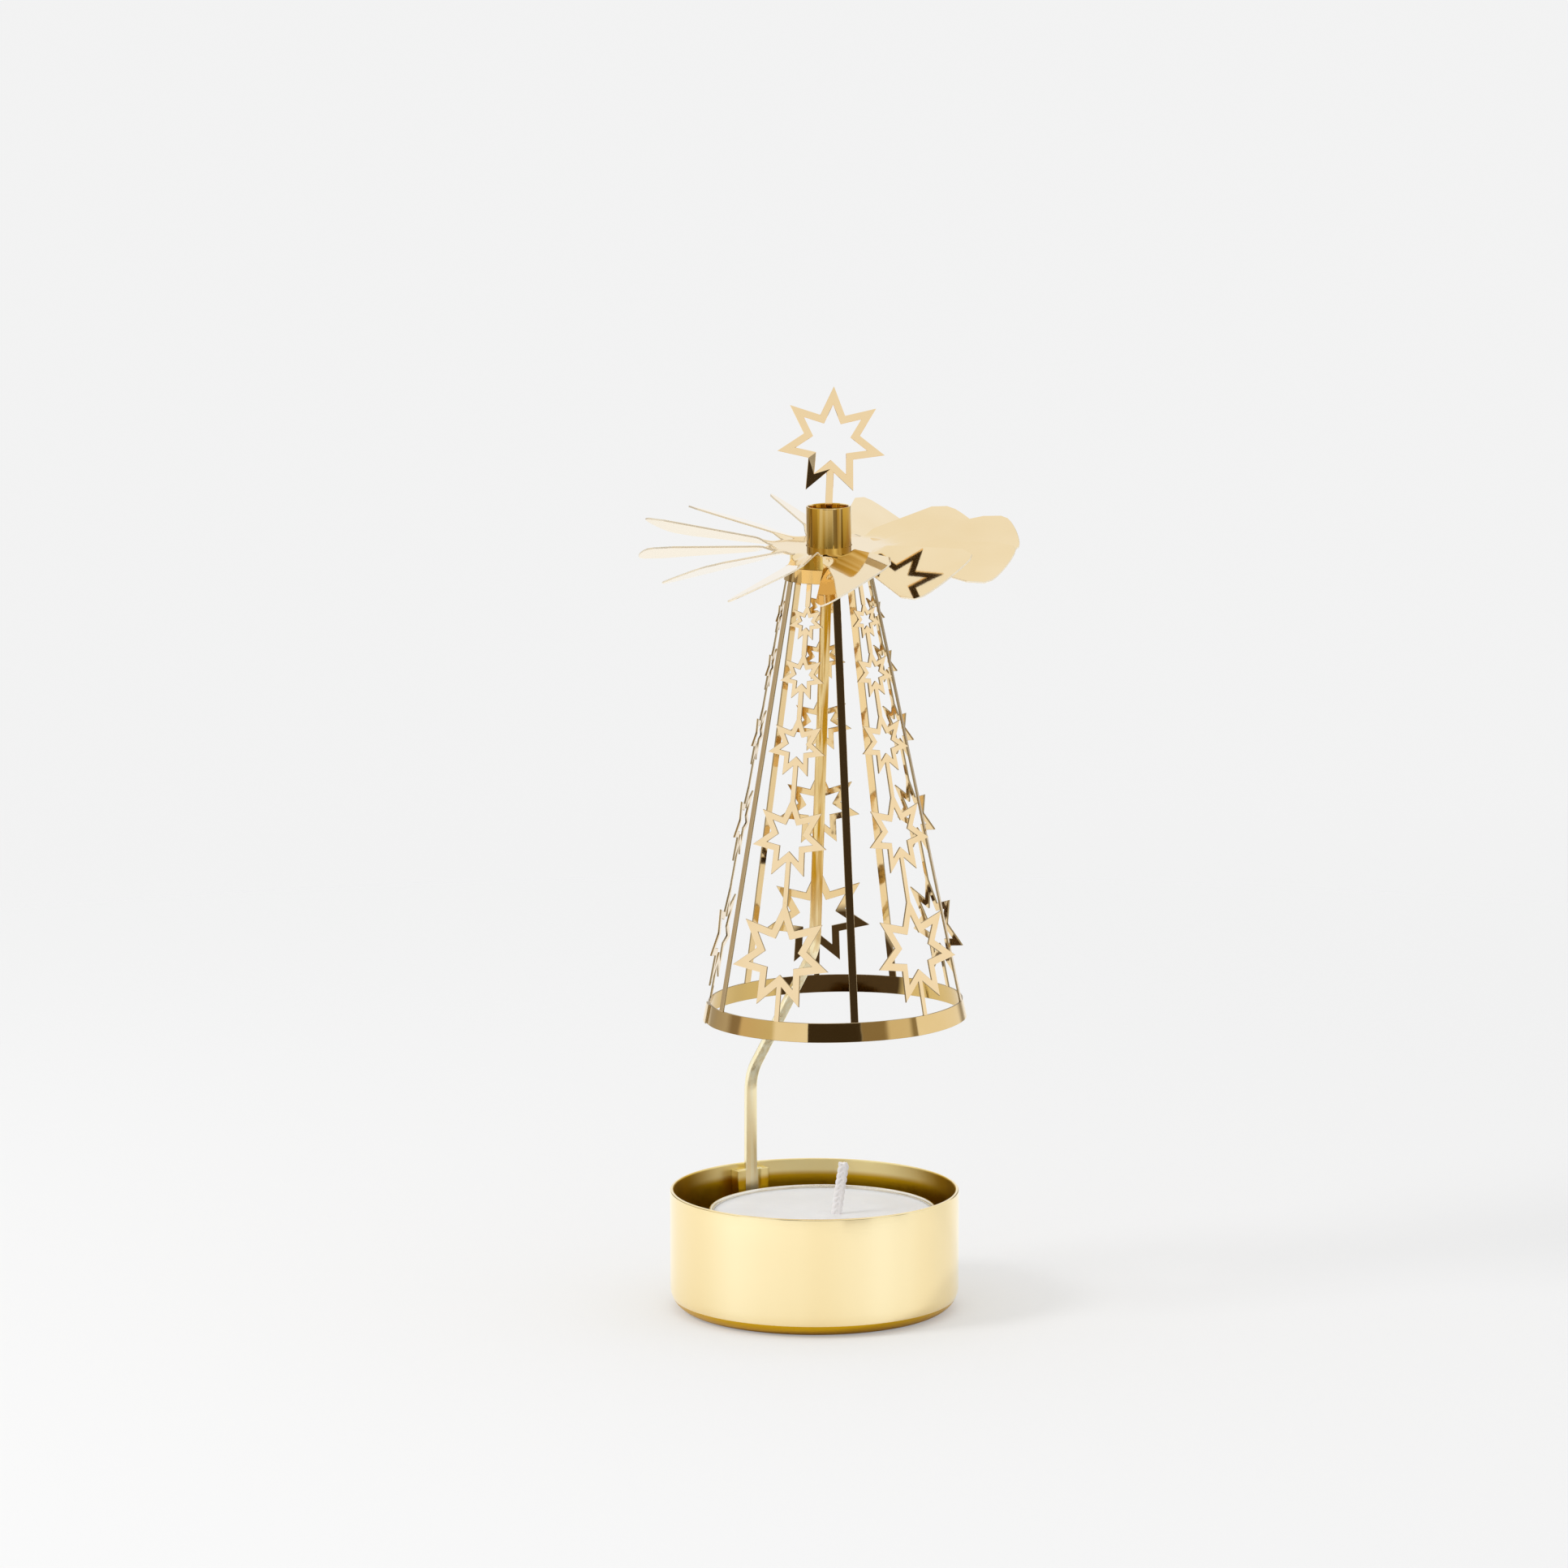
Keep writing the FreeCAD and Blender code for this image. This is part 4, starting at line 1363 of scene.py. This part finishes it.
@dataclass
class Skirt:
    """The star tree: two hoops, plain bars and strings of linked stars.

    Attributes:
        star_rise: where the lowest star's middle is, along the cone from the hem.
        star_step: how far the next one's is from it.
        shrink, frame_shrink: the size and the frame's width of a star, as shares of the one below it.
        folds: the headings of the soft folds in the hem, in degrees.
        fold_share: how far the hem is pulled from its circle to the straight line between two folds.
    """

    finishes: Finishes
    columns: int = 5
    bar_angle: float = -81.7
    bar_width: float = 1.3
    bar_rows: int = 24
    hoop_segments: int = 180
    hoop_bevel: float = 0.05
    seam_length: float = 3.2
    seam_angle: float = -178.0
    seam_steps: int = 8
    stars: int = 5
    star_radius: float = 9.2
    star_frame: float = 1.25
    star_rise: float = 10.95
    star_step: float = 19.8
    shrink: float = 0.769
    frame_shrink: float = 0.84
    link_width: float = 0.9
    edge: float = 0.045
    folds: tuple[float, ...] = (202.0, 258.0, 308.0, 350.0)
    fold_share: float = 0.1

    def flattened(self, radius: float, height: float, turn: float) -> Point:
        """Lets the hem run a little straighter between the soft folds that handling leaves in it.

        Args:
            radius: the corner's distance from the axis.
            height: the corner's height.
            turn: its angle about the axis, in radians.

        Returns:
            The new radius and height.
        """
        angle = math.degrees(turn) % 360
        for first, last in zip(self.folds, self.folds[1:]):
            if first <= angle <= last:
                half = (last - first) / 2
                chord = radius * math.cos(math.radians(half)) / math.cos(math.radians(angle - first - half))
                return radius + (chord - radius) * self.fold_share, height
        return radius, height

    def strip(self, low: float, high: float, out: float = 0.0) -> list[Point]:
        """A hoop's section with broken edges, moved outwards by out.

        Args:
            low: the lower edge.
            high: the upper edge.
            out: how far it is moved.

        Returns:
            Its corners (radius, height).
        """
        bevel, sheet = self.hoop_bevel, CONE.sheet
        top, bottom = CONE.radius(high) + out, CONE.radius(low) + out
        return [(bottom - bevel, low), (bottom, low + bevel), (top, high - bevel), (top - bevel, high),
                (top - sheet + bevel, high), (top - sheet, high - bevel),
                (bottom - sheet, low + bevel), (bottom - sheet + bevel, low)]

    def lap(self, low: float, high: float) -> Mesh:
        """The short overlap of a hoop's end over its start.

        Args:
            low: the hoop's lower edge.
            high: its upper edge.

        Returns:
            The closed mesh.
        """
        section = self.strip(low, high, CONE.sheet)
        start, width = math.radians(self.seam_angle), self.seam_length / CONE.radius(low)
        turns = [start + width * step / self.seam_steps for step in range(self.seam_steps + 1)]
        spots = [(r * math.cos(turn), r * math.sin(turn), z) for turn in turns for r, z in section]
        rows = [list(range(first, first + len(section))) for first in range(0, len(spots), len(section))]
        return make_mesh(spots, loft(rows) + [rows[0], rows[-1]])

    def hoop(self, name: str, low: float, high: float, node: str, reshape: Optional[Reshape] = None) -> None:
        """Makes one hoop of the cone, with its lapped seam.

        Args:
            name: the piece's name.
            low: its lower edge.
            high: its upper edge.
            node: the frame's node that it stands for.
            reshape: as for a lathe.
        """
        hoop = bmesh.new()
        hoop.from_mesh(lathe(self.strip(low, high), self.hoop_segments, reshape=reshape))
        hoop.from_mesh(self.lap(low, high))
        mesh = bpy.data.meshes.new(name)
        hoop.to_mesh(mesh)
        hoop.free()
        piece_from(name, mesh, Body.ROTOR, self.finishes.hem, [node])

    def string_tree(self) -> Tree:
        """One string of shrinking stars and its links, laid on the cone and repeated round it.

        Returns:
            The tree.
        """
        tree = Tree("star_strings", {"Radius": self.star_radius, "Frame": self.star_frame,
                                     "Rise": self.star_rise, "Step": self.star_step, "Link": self.link_width})
        radius, rail, centre, step, width = tree.start.outputs[1:6]
        star = STAR.tree()
        low: Number = 0.0
        parts: list[Socket] = []
        for _ in range(self.stars):
            parts += STAR.on_link(tree, star, (radius, rail, width), centre, low)
            low = tree.sum("SUBTRACT", tree.sum("ADD", centre, radius), rail)
            centre = tree.sum("ADD", centre, step)
            radius = tree.sum("MULTIPLY", radius, self.shrink)
            step = tree.sum("MULTIPLY", step, self.shrink)
            rail = tree.sum("MULTIPLY", rail, self.frame_shrink)
        parts.append(tree.slab(width, low, CONE.length * MM, STAR.link_inset))
        laid = tree.moved(tree.join(parts), CONE.lay())
        tree.finish(tree.around(laid, self.columns, self.bar_angle + 180 / self.columns), self.finishes.sheet)
        return tree

    def bar_tree(self) -> Tree:
        """One plain bar, laid on the cone and repeated round it.

        Returns:
            The tree.
        """
        tree = Tree("skirt_bars", {"Width": self.bar_width, "Length": CONE.length})
        bar = tree.slab(tree.size("Width"), 0.0, tree.size("Length"), rows=self.bar_rows)
        laid = tree.moved(bar, CONE.lay())
        tree.finish(tree.around(laid, self.columns, self.bar_angle), self.finishes.sheet)
        return tree

    def build(self) -> None:
        """Makes the hoops, the bars and the strings."""
        self.hoop("hem_hoop", CONE.hem_low, CONE.hem_high, "skirt_hem_ring", self.flattened)
        self.hoop("top_hoop", CONE.band_low, CONE.band_high, "skirt_top_band")
        for name, tree, stem in (("skirt_bars", self.bar_tree(), "skirt_bar_%d"),
                                 ("star_strings", self.string_tree(), "star_string_%d")):
            nodes = [stem % (place + 1) for place in range(self.columns)]
            piece_from(name, tree.bake(self.edge), Body.ROTOR, self.finishes.sheet, nodes)


@dataclass
class Finial:
    """The upright star on its stem.

    Attributes:
        rise: how far over the arm's point the star's middle is.
        lean: how far it leans on its seat, in degrees.
        bent_point, bent_angle: which point is bent, counted from the upper one, and how far in degrees.
        hinge_share: how far out the bend is, as a share of the inner corners' radius.
        reach_share: how far to either side the bend reaches, as a share of the radius.
    """

    finishes: Finishes
    radius: float = 9.2
    rail: float = 1.2
    rise: float = 12.9
    lean: float = 3.3
    stem_width: float = 1.2
    seat_height: float = 136.3
    seat_depth: float = 0.6
    edge: float = 0.05
    bent_point: int = -3
    bent_angle: float = 9.0
    hinge_share: float = 0.9
    reach_share: float = 0.32

    def build(self) -> None:
        """Makes the star and its stem, with the lower left point bent forwards a little."""
        tree = Tree("finial_star", {"Radius": self.radius, "Frame": self.rail, "Stem": self.stem_width})
        centre = (AXIS.height + self.rise) * MM
        low = (self.seat_height - self.seat_depth) * MM
        parts = STAR.on_link(tree, STAR.tree(), tree.start.outputs[1:4], centre, low)
        tree.finish(tree.join(parts), self.finishes.star)
        mesh = tree.bake(self.edge)
        self.bend_point(mesh, centre)
        upright = Matrix.Rotation(math.pi / 2, 4, "X") @ Matrix.Translation((0, 0, -CONE.sheet * MM / 2))
        seat = Matrix.Translation((0, 0, self.seat_height * MM))
        mesh.transform(seat @ Matrix.Rotation(math.radians(self.lean), 4, "Y") @ seat.inverted() @ upright)
        piece_from("finial", mesh, Body.ROTOR, self.finishes.star, ["finial_star"], crease=4.0)

    def bend_point(self, mesh: Mesh, centre: float) -> None:
        """Bends the lower left point forwards about the line across its root.

        Args:
            mesh: the star on XY.
            centre: where its middle is, in metres.
        """
        turn = self.bent_point * 2 * math.pi / STAR.points
        out = Vector((math.sin(turn), math.cos(turn), 0))
        hinge = self.radius * STAR.valley_share * self.hinge_share * MM
        for corner in mesh.vertices:
            offset = Vector((corner.co.x, corner.co.y - centre, 0))
            reach = offset.dot(out) - hinge
            beside = abs(offset.cross(out).z)
            if reach > 0 and beside < self.radius * MM * self.reach_share and offset.x < 0:
                corner.co.z += reach * math.tan(math.radians(self.bent_angle))
        mesh.update()


class Sky(Nodes):
    """The world's nodes, with every direction as an azimuth and a height.

    The azimuth is zero towards the camera's side, grows to the right, and both are in radians.

    Attributes:
        soft_side, soft_height: how soft the ends of a patch are, in degrees.
    """

    soft_side: float = 2.0
    soft_height: float = 3.0

    def __init__(self) -> None:
        """Starts an empty world and finds the two angles."""
        world = bpy.data.worlds.new("studio")
        world.use_nodes = True
        bpy.context.scene.world = world
        super().__init__(world.node_tree)
        self.graph.nodes.clear()
        x, y, self.up = self.add("ShaderNodeSeparateXYZ",
                                 {0: self.get("ShaderNodeTexCoord", out="Generated")}).outputs
        self.azimuth = self.sum("ARCTAN2", x, self.sum("MULTIPLY", y, -1.0))
        self.height = self.sum("ARCSINE", self.up)

    def window(self, angle: Socket, low: float, high: float, soft: float) -> Socket:
        """One between two angles in degrees and zero outside, with ends that are soft over some more.

        Args:
            angle: the direction's azimuth or height.
            low: where it starts.
            high: where it ends.
            soft: how far its soft ends go beyond.

        Returns:
            The mask.
        """
        rise = self.ramp(angle, math.radians(low - soft), math.radians(low), soft=True)
        fall = self.ramp(angle, math.radians(high), math.radians(high + soft), (1.0, 0.0), True)
        return self.sum("MULTIPLY", rise, fall)

    def patch(self, left: float, right: float, low: float, high: float) -> Socket:
        """One inside a patch, given in degrees, and zero outside."""
        return self.sum("MULTIPLY", self.window(self.azimuth, left, right, self.soft_side),
                        self.window(self.height, low, high, self.soft_height))

    def light(self, colour: Arrow, strength: Number = 1.0) -> Socket:
        """Plain light of a colour."""
        colour = colour if isinstance(colour, Socket) else (*colour, 1)
        return self.get("ShaderNodeBackground", {"Color": colour, "Strength": strength})


@dataclass
class Studio:
    """The pale sweep, the even light and the camera at the photograph's place.

    Attributes:
        floor_fade: where the sweep begins and ends to fade into the backdrop, in millimetres.
        mirrored_floor: how white reflections see it.
        floor_glow: how much of the backdrop's brightness the camera sees in it.
        focal_px, frame_px: its focal length and frame, in pixels of the photograph.
        ambient: the even light that reflections see.
        low_light, high_light: the light on dull surfaces, and how much it grows towards the top.
        dark, patch, upper_patch: dark patches in reflections: left, right, low and high in degrees.
        room_height: the heights between which reflections see the room, in degrees.
        room: the room's tones, each with the azimuths in degrees where it stands.
        lamp_place, lamp_aim: where the lamp is and what it is aimed at, in metres.
    """

    backdrop: float = 0.893
    floor_radius: float = 620.0
    floor_sides: int = 64
    floor_height: float = -0.02
    floor_fade: Point = (180.0, 558.0)
    floor_white: float = 0.88
    mirrored_floor: float = 0.99
    floor_glow: float = 0.35
    camera_place: Triple = (-0.005151, -1.5, 0.3503)
    camera_pitch: float = 9.847
    focal_px: float = 11169.7
    frame_px: float = 1932.0
    sensor: float = 36.0
    clip_start: float = 0.05
    ambient: float = 0.94
    low_light: float = 0.36
    high_light: float = 0.78
    dark: Triple = (0.045, 0.032, 0.018)
    patch: tuple[float, ...] = (-26.0, 22.0, 4.0, 17.0)
    upper_patch: tuple[float, ...] = (-37.0, -14.0, 34.0, 53.0)
    room_height: Point = (-4.5, 17.0)
    room: tuple[tuple[tuple[float, ...], Triple], ...] = (
        ((-180, -164), (0.94, 0.93, 0.92)), ((-156,), (0.40, 0.37, 0.33)), ((-129,), (0.42, 0.38, 0.32)),
        ((-112,), (0.50, 0.46, 0.41)), ((-104, -96), (0.28, 0.22, 0.15)), ((-92,), (0.66, 0.55, 0.38)),
        ((-62,), (0.66, 0.60, 0.42)), ((-58, 22), (0.92, 0.92, 0.92)), ((23, 43), (0.28, 0.22, 0.13)),
        ((47, 64), (0.74, 0.68, 0.55)), ((68, 76), (0.30, 0.25, 0.16)), ((79, 138), (0.93, 0.92, 0.90)),
        ((146, 164), (0.38, 0.35, 0.31)), ((172, 180), (0.94, 0.93, 0.92)))
    lamp_place: Triple = (-0.75, -0.35, 0.75)
    lamp_aim: Triple = (0.0, 0.0, 0.03)
    lamp_size: float = 0.32
    lamp_energy: float = 3.4

    def build(self) -> None:
        """Sets the camera, the floor, the world and the lamp."""
        self.place_camera()
        self.lay_floor()
        self.light_world()
        self.hang_lamp()
        bpy.context.scene.view_settings.view_transform = "Standard"

    def place_camera(self) -> None:
        """Stands the camera at the photograph's place and angle."""
        data = bpy.data.cameras.new("camera")
        data.sensor_width = self.sensor
        data.lens = self.focal_px / self.frame_px * self.sensor
        data.clip_start = self.clip_start
        camera = placed("camera", data)
        camera.location = self.camera_place
        camera.rotation_euler = (math.radians(90 - self.camera_pitch), 0, 0)
        bpy.context.scene.camera = camera

    def lay_floor(self) -> None:
        """Lays a round white sweep that fades into the backdrop."""
        turns = [2 * math.pi * side / self.floor_sides for side in range(self.floor_sides)]
        spots = [(self.floor_radius * math.cos(turn), self.floor_radius * math.sin(turn), self.floor_height)
                 for turn in turns]
        mesh = make_mesh(spots, [range(self.floor_sides)], closed=False)
        shader = Shader("sweep_paper")
        fade = shader.fade(shader.arrow("LENGTH", shader.place(), out="Value"), self.floor_fade, True)
        paper, bright = (shader.get("ShaderNodeBsdfDiffuse", {"Color": (white, white, white, 1)})
                         for white in (self.floor_white, self.mirrored_floor))
        glow = shader.get("ShaderNodeEmission", {"Color": (self.backdrop,) * 3 + (1,)})
        rays = shader.add("ShaderNodeLightPath").outputs
        seen = shader.sum("MULTIPLY", rays["Is Camera Ray"], self.floor_glow)
        sweep = shader.mix_surfaces(seen, shader.mix_surfaces(rays["Is Glossy Ray"], paper, bright), glow)
        clear = shader.get("ShaderNodeBsdfTransparent")
        mesh.materials.append(shader.close(shader.mix_surfaces(fade, sweep, clear)))
        placed("sweep", mesh)

    def light_world(self) -> None:
        """Even white light, a pale backdrop, and the room behind the camera for polished metal alone."""
        sky = Sky()
        round_share = sky.sum("MULTIPLY_ADD", sky.azimuth, 1 / (2 * math.pi), 0.5)
        ramp = sky.add("ShaderNodeValToRGB", {0: round_share})
        tones = [(angle, colour) for angles, colour in self.room for angle in angles]
        stops = ramp.color_ramp.elements
        while len(stops) < len(tones):
            stops.new(0.5)
        for stop, (angle, colour) in zip(stops, tones):
            stop.position = angle / 360 + 0.5
            stop.color = (*colour, 1)
        level = sky.window(sky.height, *self.room_height, sky.soft_height)
        room = sky.mix(level, (self.ambient,) * 3, ramp.outputs[0])
        patches = sky.sum("MAXIMUM", sky.patch(*self.patch), sky.patch(*self.upper_patch))
        gloss = sky.light(sky.mix(patches, room, self.dark))
        above = sky.sum("MAXIMUM", sky.up, 0.0)
        even = sky.light((1.0, 1.0, 1.0), sky.sum("MULTIPLY_ADD", above, self.high_light, self.low_light))
        rays = sky.add("ShaderNodeLightPath").outputs
        unseen = sky.mix_surfaces(rays["Is Glossy Ray"], even, gloss)
        whole = sky.mix_surfaces(rays["Is Camera Ray"], unseen, sky.light((self.backdrop,) * 3))
        sky.add("ShaderNodeOutputWorld", {"Surface": whole})

    def hang_lamp(self) -> None:
        """One large soft lamp high on the left, for the faint shadow on the right."""
        data = bpy.data.lights.new("key", "AREA")
        data.shape = "DISK"
        data.size = self.lamp_size
        data.energy = self.lamp_energy
        lamp = placed("key", data)
        lamp.location = self.lamp_place
        way = Vector(self.lamp_place) - Vector(self.lamp_aim)
        lamp.rotation_euler = way.to_track_quat("Z", "Y").to_euler()
        lamp.visible_glossy = False


def main() -> None:
    """Builds every sub-assembly in order, and the studio round them."""
    logging.basicConfig(level=logging.INFO, format="%(message)s")
    Studio().build()
    finishes = Finishes()
    for assembly in (CandleCup(finishes), SupportArm(finishes), Tealight(finishes), Hub(finishes),
                     FanWheel(finishes), Skirt(finishes), Finial(finishes)):
        assembly.build()
        LOG.info("%s done", type(assembly).__name__)


if __name__ == "__main__":
    main()
